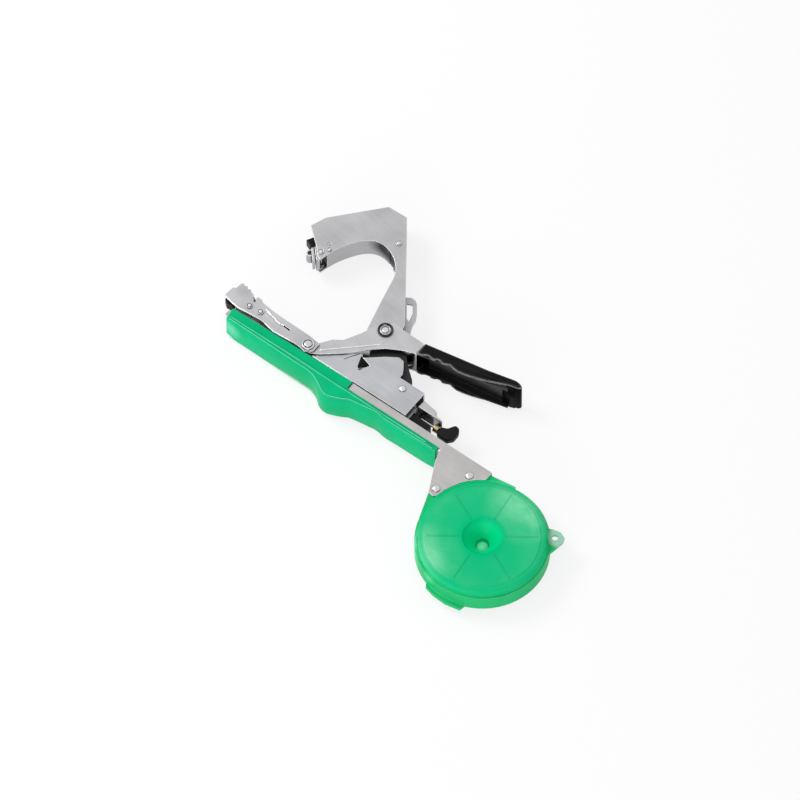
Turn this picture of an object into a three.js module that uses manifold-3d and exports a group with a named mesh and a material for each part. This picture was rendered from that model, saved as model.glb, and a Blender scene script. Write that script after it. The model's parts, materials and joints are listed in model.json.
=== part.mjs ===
// Plant tying tool, lying on its side, in millimetres.
// X runs back along the handle, Y points to the clincher arm and Z up through the tool's thickness.
// Outlines are drawn about the lever's pivot on the mid-plane, and the last lines stand the tool on z = 0.
import * as THREE from "three";
import { mergeVertices } from "three/addons/utils/BufferGeometryUtils.js";
import Module from "manifold-3d";

const wasm = await Module();
wasm.setup();

// Sheet-metal stack, from the middle outwards
const sheet = 1.0; // steel sheet of every pressing
const airGap = 0.3; // air between neighbouring pieces
const armHalf = 8.0; // half width of the clincher arm and of the handle rail
const stackStep = sheet + airGap;
const frameHalf = armHalf + stackStep;
const leverHalf = frameHalf + stackStep;
const headHalf = leverHalf + stackStep;
const overrun = 6.0; // how far a cutter runs past what it cuts

// Pivots, from the lever's pivot
const armPivotBack = 64.9;
const armPivotRise = 10.9;
const linkBack = 31.6;
const linkRise = 37.5;
const leverSqueeze = THREE.MathUtils.degToRad(14);
const armSwing = THREE.MathUtils.degToRad(24);

// Fasteners
const leverPinRadius = 2.1;
const leverPinHead = 4.0;
const armPinRadius = 1.6;
const armPinHead = 2.2;
const linkPinRadius = 2.6;
const linkPinHead = 3.6;
const linkCollarOuter = 4.8;
const linkCollarInner = 4.1;
const linkRingThick = 0.7;
const headRise = 1.1; // how far a domed rivet head stands up

// Clincher arm
const armReach = 117; // from its pivot to the tip's corner
const armRise = 101; // from its pivot to its top edge
const armLegBoss = 8.6; // round of the arm's cheeks about the link pin
const webFromShare = 0.4; // where the throat's web stops, along the throat
const limbThick = 1.5;
const limbPivotBoss = 5.0;
const anchorBack = -0.6;
const anchorRise = 94.0;
const anchorPinRadius = 1.4;
const anchorPinHead = 2.0;

// Lever and its grip
const leverReach = 118;
const leverRise = 45;
const leverPivotBoss = 4.5;
const ribRise = 0.25;
const ribWide = 1.1;
const gripWall = 1.3;
const gripReach = 130;
const gripRise = 57;
const gripBend = 1.2; // rounded outer edges of the black grip
const springTabHalf = 0.9;
const springTabReach = 47;
const springTabRise = 73;
const slotWall = 1.5; // metal round the link pin's slot

// Handle rail and the green grip
const railFront = -51.5;
const railShort = 2.0; // how much sooner than the green grip the rail ends
const railTop = -4.1;
const railFloor = -12.0;
const plateLength = 78;
const plateHeight = 28;
const handleReach = 108;
const railEnd = handleReach - railShort;
const handleDepth = 23;
const handleHalf = 11.0;
const handleBandHalf = 10.5;
const handleBandLow = -12.0;
const handleRound = 2.2;

// Tape case
const caseBack = 167.6;
const caseDrop = 43.9;
const caseHalf = 8.5;
const caseRadius = 42;
const caseWall = 1.6;
const lidPlay = 0.4; // between the lid and the rim it sits in
const lidRadius = caseRadius - caseWall - lidPlay;
const lidWall = 1.4;
const lidFlank = 4.6; // how much of the lid shows above the base's rim
const lidLap = 3.0; // how far its skirt reaches down inside the rim
const lidRound = 1.4;
const panelMargin = 4.0;
const panelRadius = lidRadius - panelMargin;
const panelRise = 0.4;
const funnelMouth = 12.7;
const funnelThroat = 4.5;
const funnelDeep = 10.5;
const funnelWall = 1.2;
const hubWall = 1.1;
const rollGap = 0.8;
const rollHalf = 5.5; // half the tape's width
const rollWound = 9; // thickness of tape on the core
const coreWall = 1.4;
const spokeWide = 0.7;
const caseNeckHalf = armHalf;
const earThick = 2.2;
const earHole = 2.0;
const flangeThick = 2.2;
const caseRivetRadius = 1.5;
const caseRivetHead = 2.5;

// Jaw head, magazine and pusher
const headReach = 63;
const headHeight = 12;
const magHalf = 4.6;
const magWall = 0.8;
const magFront = -54;
const magBack = 79;
const magLow = -4.0;
const magTop = 7.2;
const stapleFloor = 1.9;
const stapleWire = 0.6;
const stapleHigh = 4.4;
const staplesFront = -48;
const staplesBack = -8;
const headRivetRadius = 1.3;
const headRivetHead = 2.0;
const coverHalf = 7.0;
const coverFront = 79.6;
const coverBack = 97.6;
const coverTop = 13.2;
const coverLow = 7.6;
const blockFront = 80.2;
const blockBack = 93.4;
const blockLow = -3.4;
const blockTop = 2.6;
const rodRise = 4.9;
const rodRadius = 0.8;
const pusherLong = 10;
const pusherSpringWire = 0.5;
const pusherSpringMean = 1.6;
const pusherSpringCurls = 34;
const ferruleRadius = 2.7;
const ferruleLong = 3.4;
const hookHalf = 2.6;
const hookLong = 12;
const hookHigh = 10;

// Return spring of the arm
const armSpringWire = 0.8;
const armSpringMean = 2.0;
const armSpringCurls = 16;

// Colours and finishes
const finish = {
  steel: { color: 0xc1c2c4, roughness: 0.38, metalness: 0.9 },
  bracket: { color: 0xbfbab9, roughness: 0.45, metalness: 0.85 },
  rivet: { color: 0xd8d8da, roughness: 0.25, metalness: 0.95 },
  dark: { color: 0x1c1c1e, roughness: 0.5, metalness: 0.3 },
  blackPlastic: { color: 0x161617, roughness: 0.42, metalness: 0 },
  green: { color: 0x00c078, roughness: 0.3, metalness: 0 },
  greenCase: { color: 0x2ec884, roughness: 0.4, metalness: 0 },
  brass: { color: 0xb79a55, roughness: 0.35, metalness: 0.9 },
  tape: { color: 0xb8e6cc, roughness: 0.5, metalness: 0 },
};

const tool = new THREE.Group();

// Building blocks

function solidOf(geometry) {
  const bare = geometry.index ? geometry.toNonIndexed() : geometry.clone();
  bare.deleteAttribute("normal");
  bare.deleteAttribute("uv");
  const merged = mergeVertices(bare, 1e-4);
  const corners = [];
  for (let i = 0; i < merged.index.count; i += 3) {
    const [a, b, c] = merged.index.array.slice(i, i + 3);
    if (a !== b && b !== c && c !== a) corners.push(a, b, c);
  }
  return new wasm.Manifold(
    new wasm.Mesh({
      numProp: 3,
      vertProperties: new Float32Array(merged.attributes.position.array),
      triVerts: new Uint32Array(corners),
    }),
  );
}

function addMesh(name, solid, look) {
  const made = solid.getMesh();
  const geometry = new THREE.BufferGeometry();
  geometry.setAttribute("position", new THREE.BufferAttribute(made.vertProperties, 3));
  geometry.setIndex(new THREE.BufferAttribute(made.triVerts, 1));
  geometry.computeVertexNormals();
  const mesh = new THREE.Mesh(geometry, new THREE.MeshStandardMaterial(look));
  mesh.name = name;
  tool.add(mesh);
}

const joined = (solids) => solids.reduce((sum, solid) => sum.add(solid));

const point = (x, y) => new THREE.Vector2(x, y);

// Places given as shares of a length and a height, about an anchor
function spread(shares, length, height, anchor = point(0, 0)) {
  return shares.map(([along, up]) => point(anchor.x + along * length, anchor.y + up * height));
}

const smooth = (points, steps) => new THREE.SplineCurve(points).getPoints(steps);

const straightShape = (points) => new THREE.Shape(points);

// A closed outline whose corners are rounded
function roundedShape(points, radius) {
  const shape = new THREE.Shape();
  points.forEach((corner, i) => {
    const before = points[(i + points.length - 1) % points.length];
    const after = points[(i + 1) % points.length];
    const reachBefore = Math.min(radius, corner.distanceTo(before) / 2);
    const reachAfter = Math.min(radius, corner.distanceTo(after) / 2);
    const from = corner.clone().lerp(before, reachBefore / corner.distanceTo(before));
    const to = corner.clone().lerp(after, reachAfter / corner.distanceTo(after));
    if (i === 0) shape.moveTo(from.x, from.y);
    else shape.lineTo(from.x, from.y);
    shape.quadraticCurveTo(corner.x, corner.y, to.x, to.y);
  });
  shape.closePath();
  return shape;
}

// An open line moved sideways to its right
function shifted(points, distance) {
  return points.map((here, i) => {
    const before = points[Math.max(i - 1, 0)];
    const after = points[Math.min(i + 1, points.length - 1)];
    const into = here.clone().sub(before).normalize();
    const out = after.clone().sub(here).normalize();
    const along = into.add(out).normalize();
    const bend = Math.max(along.dot(after.clone().sub(before).normalize()), 0.5);
    return point(here.x + (along.y * distance) / bend, here.y - (along.x * distance) / bend);
  });
}

function plate(shape, low, high, curveSegments = 3) {
  const geometry = new THREE.ExtrudeGeometry(shape, {
    depth: high - low,
    bevelEnabled: false,
    curveSegments,
  });
  return solidOf(geometry.translate(0, 0, low));
}

// The near and the far sheet of a channel
function cheeks(shape, outer, thick = sheet, curveSegments = 3) {
  return plate(shape, outer - thick, outer, curveSegments)
    .add(plate(shape, -outer, thick - outer, curveSegments));
}

function disc(at, radius, low, high, sides = 20) {
  const geometry = new THREE.CylinderGeometry(radius, radius, high - low, sides);
  return solidOf(geometry.rotateX(Math.PI / 2).translate(at.x, at.y, (low + high) / 2));
}

function box(low, high) {
  const geometry = new THREE.BoxGeometry(high[0] - low[0], high[1] - low[1], high[2] - low[2]);
  const middle = low.map((value, axis) => (value + high[axis]) / 2);
  return solidOf(geometry.translate(...middle));
}

// A turned piece about Z from its radius and height pairs, the first and the last on the axis
function turned(at, profile, sides = 18) {
  const geometry = new THREE.LatheGeometry(profile.map(([r, z]) => point(r, z)), sides);
  return solidOf(geometry.rotateX(Math.PI / 2).translate(at.x, at.y, 0));
}

// A rivet that stands up from `seat`, domed, with its shank down to `foot`
function rivet(at, radius, head, foot, seat, side, rise = headRise) {
  const inner = Math.min(foot, seat);
  const dome = [
    [0, inner],
    [radius, inner],
    [radius, seat],
    [head, seat],
    [head * domeShares.waist, seat + rise * domeShares.low],
    [head * domeShares.crown, seat + rise * domeShares.high],
    [0, seat + rise],
  ];
  const made = turned(at, dome, 16);
  return side > 0 ? made : made.mirror([0, 0, 1]);
}
const domeShares = { waist: 0.93, low: 0.5, crown: 0.6, high: 0.92 };

const mirrored = (solid) => solid.mirror([0, 0, 1]);

// A round wire wound from one place to another, in the plane z = 0, with its ends straight
function coil(from, to, mean, wire, curls) {
  const stepsPerCurl = 8;
  const sides = 5;
  const axis = new THREE.Vector3(to.x - from.x, to.y - from.y, 0);
  const long = axis.length();
  axis.normalize();
  const side = new THREE.Vector3(-axis.y, axis.x, 0);
  const up = new THREE.Vector3(0, 0, 1);
  const start = new THREE.Vector3(from.x, from.y, 0);
  const count = stepsPerCurl * curls;
  const path = [];
  for (let i = 0; i <= count; i++) {
    const turn = (2 * Math.PI * i) / stepsPerCurl;
    const out = side.clone().multiplyScalar(Math.cos(turn)).addScaledVector(up, Math.sin(turn));
    path.push({
      at: start.clone().addScaledVector(axis, (long * i) / count).addScaledVector(out, mean),
      out,
      along: side.clone().multiplyScalar(-Math.sin(turn)).addScaledVector(up, Math.cos(turn))
        .multiplyScalar((2 * Math.PI * mean * curls) / long).add(axis).normalize(),
    });
  }
  const first = path[0];
  const last = path[path.length - 1];
  path.unshift({ ...first, at: first.at.clone().addScaledVector(first.along, -wire) });
  path.push({ ...last, at: last.at.clone().addScaledVector(last.along, wire) });
  const places = [];
  for (const { at, out, along } of path) {
    const across = along.clone().cross(out).normalize();
    for (let k = 0; k < sides; k++) {
      const turn = (2 * Math.PI * k) / sides;
      const p = at.clone().addScaledVector(out, (Math.cos(turn) * wire) / 2)
        .addScaledVector(across, (Math.sin(turn) * wire) / 2);
      places.push(p.x, p.y, p.z);
    }
  }
  const faces = [];
  for (let i = 0; i + 1 < path.length; i++)
    for (let k = 0; k < sides; k++) {
      const a = i * sides + k;
      const b = i * sides + ((k + 1) % sides);
      faces.push(a, b, b + sides, a, b + sides, a + sides);
    }
  const end = (path.length - 1) * sides;
  for (let k = 1; k + 1 < sides; k++) {
    faces.push(0, k + 1, k);
    faces.push(end, end + k, end + k + 1);
  }
  let least = Infinity;
  for (let i = 0; i < path.length; i++)
    for (let j = i + stepsPerCurl - 1; j < path.length; j++)
      least = Math.min(least, path[i].at.distanceTo(path[j].at) - wire);
  console.log("coil of " + curls + " curls: least gap to itself " + least.toFixed(2) + " mm");
  return new wasm.Manifold(
    new wasm.Mesh({
      numProp: 3,
      vertProperties: new Float32Array(places),
      triVerts: new Uint32Array(faces),
    }),
  );
}

// Places that several pieces share
const leverPivot = point(0, 0);
const armPivot = point(armPivotBack, armPivotRise);
const linkAt = point(linkBack, linkRise);
const anchorAt = point(anchorBack, anchorRise);
const caseAt = point(caseBack, -caseDrop);
const turnedAbout = (at, centre, angle) => at.clone().rotateAround(centre, angle);

// Clincher arm: two cheeks joined along the throat

const armBackShares = [
  [-0.899, 0.503], [-0.999, 0.599], [-0.964, 0.701], [-0.738, 0.995], [-0.621, 1.0], [-0.502, 0.81],
  [-0.233, 0.383], [-0.217, 0.318], [-0.3, 0.2], [-0.374, 0.21],
];
const armThroatShares = [
  [-0.391, 0.288], [-0.43, 0.48], [-0.461, 0.632], [-0.507, 0.7], [-0.557, 0.738], [-0.61, 0.755],
  [-0.666, 0.748],
  [-0.71, 0.716], [-0.748, 0.664], [-0.783, 0.597], [-0.803, 0.548], [-0.82, 0.492],
];
const armNoseShares = [[-0.832, 0.439], [-0.853, 0.446]];
const armSpread = (shares) => spread(shares, armReach, armRise, armPivot);
const throatSteps = 26;

// The link pin's path in the arm, which its slot follows
function linkSlot(low, high) {
  const steps = 6;
  const stops = [];
  for (let i = 0; i <= steps; i++) {
    const pin = turnedAbout(linkAt, leverPivot, (-leverSqueeze * i) / steps);
    stops.push(turnedAbout(pin, armPivot, (-armSwing * i) / steps));
  }
  const radius = linkPinRadius + airGap;
  const rounds = stops.map((at) => disc(at, radius, low, high, 16));
  const runs = stops.slice(1).map((at, i) => bar(stops[i], at, 2 * radius, low, high));
  return joined([...rounds, ...runs]);
}

const slotEnd = turnedAbout(turnedAbout(linkAt, leverPivot, -leverSqueeze), armPivot, -armSwing);

// Near and far metal round the slot
function slotSurround(low, high) {
  const radius = linkPinRadius + slotWall;
  const made = bar(linkAt, slotEnd, 2 * radius, low, high).add(disc(slotEnd, radius, low, high, 20));
  return made.add(mirrored(made));
}

function armChannel() {
  const throat = smooth(armSpread(armThroatShares), throatSteps);
  const outline = straightShape([...armSpread(armBackShares), ...throat, ...armSpread(armNoseShares)]);
  const boss = disc(linkAt, armLegBoss, armHalf - sheet, armHalf, 24);
  const webLine = throat.slice(Math.round(throatSteps * webFromShare));
  const web = straightShape([...webLine, ...shifted(webLine, sheet).reverse()]);
  return cheeks(outline, armHalf)
    .add(boss)
    .add(mirrored(boss))
    .add(slotSurround(armHalf - sheet, armHalf))
    .add(plate(web, sheet / 2 - armHalf, armHalf - sheet / 2))
    .subtract(linkSlot(-overrun - armHalf, armHalf + overrun))
    .subtract(pinHole(anchorAt, anchorPinRadius))
    .subtract(pinHole(gripperPin, gripperPinRadius))
    .subtract(joined(screwPlaces.map((at) => pinHole(at, tipScrewRadius))));
}

// Black limb inside the arm, which carries it to the pivot on the frame
const limbShares = [
  [-0.37, 0.42], [-0.3, 0.44], [-0.205, 0.32], [-0.135, 0.25], [-0.089, 0.179], [0.014, 0.085],
  [0.02, 0.02],
  [-0.042, -0.03], [-0.144, 0.011], [-0.27, 0.06], [-0.31, 0.19],
];
const limbHalf = armHalf - sheet - airGap;
const limbWebShares = [[-0.08, 0.17], [0.002, 0.095], [-0.006, 0.0835], [-0.088, 0.1585]];

function armLimb() {
  const outline = roundedShape(armSpread(limbShares), limbPivotBoss);
  const web = straightShape(armSpread(limbWebShares));
  return cheeks(outline, limbHalf, limbThick)
    .add(plate(web, -limbHalf, limbHalf))
    .add(slotSurround(limbHalf - limbThick, limbHalf))
    .subtract(linkSlot(-armHalf, armHalf))
    .subtract(disc(armPivot, armPinRadius + airGap, -armHalf, armHalf, 16));
}

// What the arm's tip carries
const anvilShares = [
  [-0.9085, 0.501], [-0.8556, 0.4335], [-0.84, 0.436], [-0.834, 0.46], [-0.84, 0.515],
  [-0.87, 0.525], [-0.9, 0.512],
];
const anvilPocketShares = [[-0.874, 0.482], [-0.85, 0.4525], [-0.82, 0.44], [-0.82, 0.55], [-0.874, 0.55]];
const anvilHalf = armHalf - sheet - airGap;
const anvilWall = 1.2;
const bladeHalf = 5.2;
const bladeShares = [[-0.913, 0.5], [-0.921, 0.486], [-0.868, 0.417], [-0.858, 0.43]];
const gripperShares = [
  [-0.979, 0.523], [-0.955, 0.568], [-0.92, 0.556], [-0.907, 0.519], [-0.933, 0.489], [-0.941, 0.505],
];
const gripperHalf = 3.5;
const gripperStemShares = [[-0.945, 0.54], [-0.93, 0.565], [-0.842, 0.575], [-0.837, 0.55], [-0.92, 0.525]];
const gripperPin = armSpread([[-0.852, 0.5625]])[0];
const gripperPinRadius = 0.8;
const curlAt = armSpread([[-0.9111, 0.4594]])[0];
const curlRadius = 2.5;
const curlHalf = 4.2;
const screwShares = [[-0.857, 0.487], [-0.829, 0.5305]];
const screwHeads = [2.0, 1.5];
const tipScrewRadius = 0.9;
const screwPlaces = armSpread(screwShares);
const gripperStemHalf = 2.5;

// Pins that cross the frame

function armPin(side) {
  const made = rivet(armPivot, armPinRadius, armPinHead, limbHalf - limbThick, frameHalf + airGap, 1);
  return side > 0 ? made : mirrored(made);
}

function leverPin(side) {
  const made = rivet(leverPivot, leverPinRadius, leverPinHead, armHalf - sheet - airGap,
    headHalf + airGap, 1);
  return side > 0 ? made : mirrored(made);
}

// The link pin's head sits inside a raised collar, and a spring ring holds its far end
function linkPin() {
  const face = leverHalf + airGap;
  const foot = -face - linkRingThick - airGap;
  return turned(linkAt, [
    [0, foot],
    [linkPinRadius, foot],
    [linkPinRadius, face],
    [linkPinHead, face],
    [linkPinHead, face + headRise * linkHeadShares.side],
    [linkPinHead * linkHeadShares.neck, face + headRise * linkHeadShares.top],
    [linkPinHead * linkHeadShares.dimple, face + headRise * linkHeadShares.top],
    [0, face + headRise * linkHeadShares.floor],
  ], 24);
}
const linkHeadShares = { neck: 0.82, dimple: 0.45, side: 0.3, top: 0.65, floor: 0.35 };

function ring(at, inner, outer, low, high, sides = 24) {
  return disc(at, outer, low, high, sides).subtract(disc(at, inner, low - overrun, high + overrun, sides));
}

// A hole through both cheeks, with air round its pin
const pinHole = (at, radius) => disc(at, radius + airGap, -overrun - headHalf, headHalf + overrun, 16);

// A rivet through the whole tool, domed at both ends
function throughRivet(at, radius, head, seat, rise = headRise) {
  const near = rivet(at, radius, head, 0, seat, 1, rise);
  return near.add(mirrored(near));
}

// A solid whose two outer edges are rounded
function softPlate(shape, low, high, bend, curveSegments = 2) {
  const geometry = new THREE.ExtrudeGeometry(shape, {
    depth: high - low - 2 * bend,
    bevelEnabled: true,
    bevelThickness: bend,
    bevelSize: bend,
    bevelOffset: -bend,
    bevelSegments: 2,
    curveSegments,
  });
  return solidOf(geometry.translate(0, 0, low + bend));
}

// Clincher at the arm's tip

function anvil() {
  const block = plate(straightShape(armSpread(anvilShares)), -anvilHalf, anvilHalf);
  const pocket = plate(straightShape(armSpread(anvilPocketShares)), anvilWall - anvilHalf,
    anvilHalf - anvilWall);
  return block.subtract(pocket).subtract(joined(screwPlaces.map((at) => pinHole(at, tipScrewRadius))));
}

function tapeCutter() {
  const blade = plate(straightShape(armSpread(bladeShares)), -bladeHalf, bladeHalf);
  const curl = ring(curlAt, curlRadius - sheet, curlRadius, -curlHalf, curlHalf, 18);
  return blade.add(curl);
}

function tapeGripper() {
  const jaw = plate(straightShape(armSpread(gripperShares)), -gripperHalf, gripperHalf);
  const stem = plate(straightShape(armSpread(gripperStemShares)), -gripperStemHalf, gripperStemHalf);
  return jaw.add(stem).subtract(pinHole(gripperPin, gripperPinRadius));
}

// Frame

const plateShares = [
  [0.067, -0.125], [0.11, -0.075], [0.083, -0.043], [0, -0.071], [0, 0.15], [0.141, 0.164], [0.212, 0.196],
  [0.377, 0.596], [0.405, 0.5], [0.433, 0.557], [0.544, 0.818], [0.635, 0.986], [0.685, 0.971],
  [0.723, 0.829],
  [0.753, 0.686], [0.753, 0.586], [0.997, 0.586], [0.997, -0.125],
];
const windowShares = [[0.388, 0.52], [0.42, 0.26], [0.452, 0.18], [0.496, 0.43]];
const flapSlitShares = [[0.296, 0.221], [0.39, 0.655]];
const flapSlitWide = 0.7;
const plateWebShares = [[0.917, 0.586], [0.997, 0.586], [0.997, 0.55], [0.917, 0.55]];

function sideFrame() {
  const outline = straightShape(spread(plateShares, plateLength, plateHeight));
  const boss = disc(leverPivot, leverPivotBoss, frameHalf - sheet, frameHalf, 20);
  const web = straightShape(spread(plateWebShares, plateLength, plateHeight));
  const window = straightShape(spread(windowShares, plateLength, plateHeight));
  const [slitFrom, slitTo] = spread(flapSlitShares, plateLength, plateHeight);
  return cheeks(outline, frameHalf)
    .add(boss)
    .add(mirrored(boss))
    .add(plate(web, sheet / 2 - frameHalf, frameHalf - sheet / 2))
    .subtract(plate(window, -overrun - frameHalf, frameHalf + overrun))
    .subtract(bar(slitFrom, slitTo, flapSlitWide, -overrun - frameHalf, frameHalf + overrun))
    .subtract(pinHole(leverPivot, leverPinRadius))
    .subtract(pinHole(armPivot, armPinRadius));
}

function handleRail() {
  const inside = armHalf - sheet;
  const channel = box([railFront, railFloor, -armHalf], [railEnd, railTop, armHalf])
    .subtract(box([railFront - overrun, railFloor + sheet, -inside],
      [railEnd + overrun, railTop + overrun, inside]));
  const lug = disc(leverPivot, leverPivotBoss, inside, armHalf, 20)
    .add(box([-leverPivotBoss, railTop - sheet, inside], [leverPivotBoss, 0, armHalf]));
  return channel.add(lug).add(mirrored(lug)).subtract(pinHole(leverPivot, leverPinRadius));
}

const gripTopShares = [[-0.56, -0.285], [0.348, -0.183], [0.348, -0.43], [1.12, -0.43]];
const gripBellyShares = [
  [1.006, -0.617], [0.926, -0.643], [0.833, -0.648], [0.741, -0.652], [0.648, -0.661], [0.583, -0.604],
  [0.528, -0.626], [0.463, -0.687], [0.407, -0.73], [0.352, -0.861], [0.287, -0.996], [0.231, -0.948],
  [0.176, -0.748], [0.12, -0.652], [0.046, -0.643], [-0.185, -0.643], [-0.417, -0.635], [-0.491, -0.591],
];
const bellySteps = 44;

function handleGrip() {
  const belly = smooth(spread(gripBellyShares, handleReach, handleDepth), bellySteps);
  const above = spread([[-0.5, -0.2], [-0.5, 0.3], [1.004, 0.3], [1.006, -0.5]], handleReach, handleDepth);
  const body = softPlate(straightShape([...belly, ...above]), -handleHalf, handleHalf, handleRound);
  const topLine = spread([...gripTopShares, [1.12, 0.6], [-0.56, 0.6]], handleReach, handleDepth);
  const top = plate(straightShape(topLine), -overrun - handleHalf, handleHalf + overrun);
  const reach = handleReach + overrun;
  const band = box([-reach, handleBandLow, handleBandHalf], [reach, overrun, handleHalf + overrun]);
  const room = armHalf + airGap;
  const channel = box([railFront - airGap, railFloor - airGap, -room], [reach, overrun, room]);
  return body.subtract(top).subtract(band).subtract(mirrored(band)).subtract(channel);
}

const bracketShares = [
  [0.871, -0.958], [0.86, -0.99], [0.835, -0.96], [0.794, -0.66], [0.768, -0.455],
  [0.753, -0.273], [0.748, -0.24],
  [0.26, -0.24], [0.26, -0.105], [0.996, -0.105],
];
const bracketLength = 146;
const bracketHeight = 40;
const bracketArc = { from: 123.7, to: 171.3 }; // degrees about the case's centre
const bracketWebShares = [[0.73, -0.105], [0.996, -0.105], [0.996, -0.13], [0.73, -0.13]];
const caseRivetShares = [[0.927, -0.357], [0.853, -0.85]];
const caseRivetPlaces = spread(caseRivetShares, bracketLength, bracketHeight);

function aboutCase(radius, degrees) {
  const turn = THREE.MathUtils.degToRad(degrees);
  return point(caseAt.x + Math.cos(turn) * radius, caseAt.y + Math.sin(turn) * radius);
}

function tapeBracket() {
  const arc = [0, 1, 2, 3, 4, 5, 6].map((i) =>
    aboutCase(lidRadius + airGap, THREE.MathUtils.lerp(bracketArc.from, bracketArc.to, i / 6)));
  const outline = straightShape([...spread(bracketShares, bracketLength, bracketHeight), ...arc]);
  const web = straightShape(spread(bracketWebShares, bracketLength, bracketHeight));
  return cheeks(outline, frameHalf)
    .add(plate(web, sheet / 2 - frameHalf, frameHalf - sheet / 2))
    .subtract(joined(caseRivetPlaces.map((at) => pinHole(at, caseRivetRadius))));
}

// Tape case

const neckShares = [
  [0.8356, -0.9575], [0.805, -0.66], [0.778, -0.455], [0.763, -0.28], [0.76, -0.14],
  [0.985, -0.14], [1.0014, -0.135],
];
// Degrees about the case's centre where the neck's sides meet the drum
const neckTouch = { top: 97, left: 198 };
const earShares = [
  [0.6, 0.6], [0.643, 0.745], [0.733, 0.781], [0.843, 0.8], [0.943, 0.755], [0.964, 0.679],
  [0.91, 0.39], [0.8, 0.4],
];
const earHoleShares = [[0.821, 0.681]];
const flangeShares = [
  [-0.307, -0.9], [-0.307, -0.964], [-0.267, -1.024], [-0.1, -1.064], [0.117, -1.074], [0.357, -1.026],
  [0.376, -0.926], [0.36, -0.88],
];
const tapeSlotShares = [[0.7, -0.2], [0.9, -0.3], [1.08, -0.5], [1.06, -0.56], [0.89, -0.35], [0.7, -0.25]];
const rimTop = caseHalf - lidFlank - airGap;
const caseFloor = -armHalf;
const hubRadius = funnelMouth + funnelWall + hubWall + airGap + airGap;
const throughHole = funnelThroat - hubWall;

function caseBase() {
  const sides = 64;
  const inner = caseRadius - caseWall;
  const touch = [neckTouch.top, neckTouch.left].map((degrees) => aboutCase(inner + caseWall / 2, degrees));
  const neckLine = spread(neckShares, bracketLength, bracketHeight);
  const neckShape = straightShape([...neckLine, touch[0], caseAt, touch[1]]);
  const neck = plate(neckShape, -caseNeckHalf, caseNeckHalf);
  const ear = plate(straightShape(spread(earShares, caseRadius, caseRadius, caseAt)),
    rimTop - earThick, rimTop);
  const flangeShape = straightShape(spread(flangeShares, caseRadius, caseRadius, caseAt));
  const slot = straightShape(spread(tapeSlotShares, bracketLength, bracketHeight));
  const tapeRoom = rollHalf + airGap;
  return disc(caseAt, caseRadius, caseFloor, rimTop, sides)
    .add(neck)
    .add(ear)
    .add(plate(flangeShape, caseFloor, caseFloor + flangeThick))
    .subtract(disc(caseAt, inner, caseFloor + caseWall, caseHalf + overrun, sides))
    .add(ring(caseAt, hubRadius - hubWall, hubRadius, caseFloor + caseWall / 2, hubTop, 32))
    .subtract(disc(caseAt, throughHole, -overrun - caseHalf, caseHalf, 20))
    .subtract(plate(slot, -tapeRoom, tapeRoom))
    .subtract(disc(spread(earHoleShares, caseRadius, caseRadius, caseAt)[0], earHole, -overrun,
      caseHalf, 16))
    .subtract(joined(caseRivetPlaces.map((at) => pinHole(at, caseRivetRadius))));
}
const hubTop = caseHalf - lidWall - panelRise - airGap - airGap;

// Lid with a raised panel, six ribs and a funnel down its middle
const ribAngles = [36, 96, 156, 216, 276, 336];
const ribShares = { from: 1.12, to: 0.96 }; // of the funnel's mouth and of the panel

function caseLid() {
  const shoulder = caseHalf - panelRise;
  const foot = rimTop - lidLap;
  const throatAt = caseHalf - funnelDeep;
  const lid = turned(caseAt, [
    [0, foot],
    [lidRadius, foot],
    [lidRadius, shoulder - lidRound],
    [lidRadius - lidRound * softShare, shoulder - lidRound * softShare],
    [lidRadius - lidRound, shoulder],
    [panelRadius + panelRise, shoulder],
    [panelRadius, caseHalf],
    [0, caseHalf],
  ], 64);
  const inside = lidRadius - lidWall;
  const ceiling = shoulder - lidWall;
  const hollow = disc(caseAt, inside, foot - overrun, ceiling, 64);
  const funnel = turned(caseAt, [
    [0, throatAt],
    [funnelThroat + funnelWall, throatAt],
    [funnelMouth + funnelWall, caseHalf - funnelWall],
    [0, caseHalf - funnelWall],
  ], 32);
  const bore = turned(caseAt, [
    [0, throatAt - overrun],
    [funnelThroat, throatAt - overrun],
    [funnelThroat, throatAt + funnelWall],
    [funnelMouth - funnelWall, caseHalf - funnelWall],
    [funnelMouth, caseHalf],
    [funnelMouth, caseHalf + overrun],
    [0, caseHalf + overrun],
  ], 32);
  const ribs = ribAngles.map((degrees) => {
    const from = aboutCase(funnelMouth * ribShares.from, degrees);
    const to = aboutCase(panelRadius * ribShares.to, degrees);
    return bar(from, to, spokeWide, caseHalf - panelRise, caseHalf + panelRise / 2);
  });
  return lid.subtract(hollow).add(funnel).add(joined(ribs)).subtract(bore);
}
const softShare = 0.3;

// A straight strip from one place to another, seen from above
function bar(from, to, wide, low, high) {
  const along = to.clone().sub(from).normalize();
  const aside = point(-along.y, along.x).multiplyScalar(wide / 2);
  const corners = [from.clone().add(aside), from.clone().sub(aside), to.clone().sub(aside),
    to.clone().add(aside)];
  return plate(straightShape(corners), low, high);
}

const coreInner = hubRadius + rollGap;
const coreOuter = coreInner + coreWall;

// Staple magazine, jaw head and pusher

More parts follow.
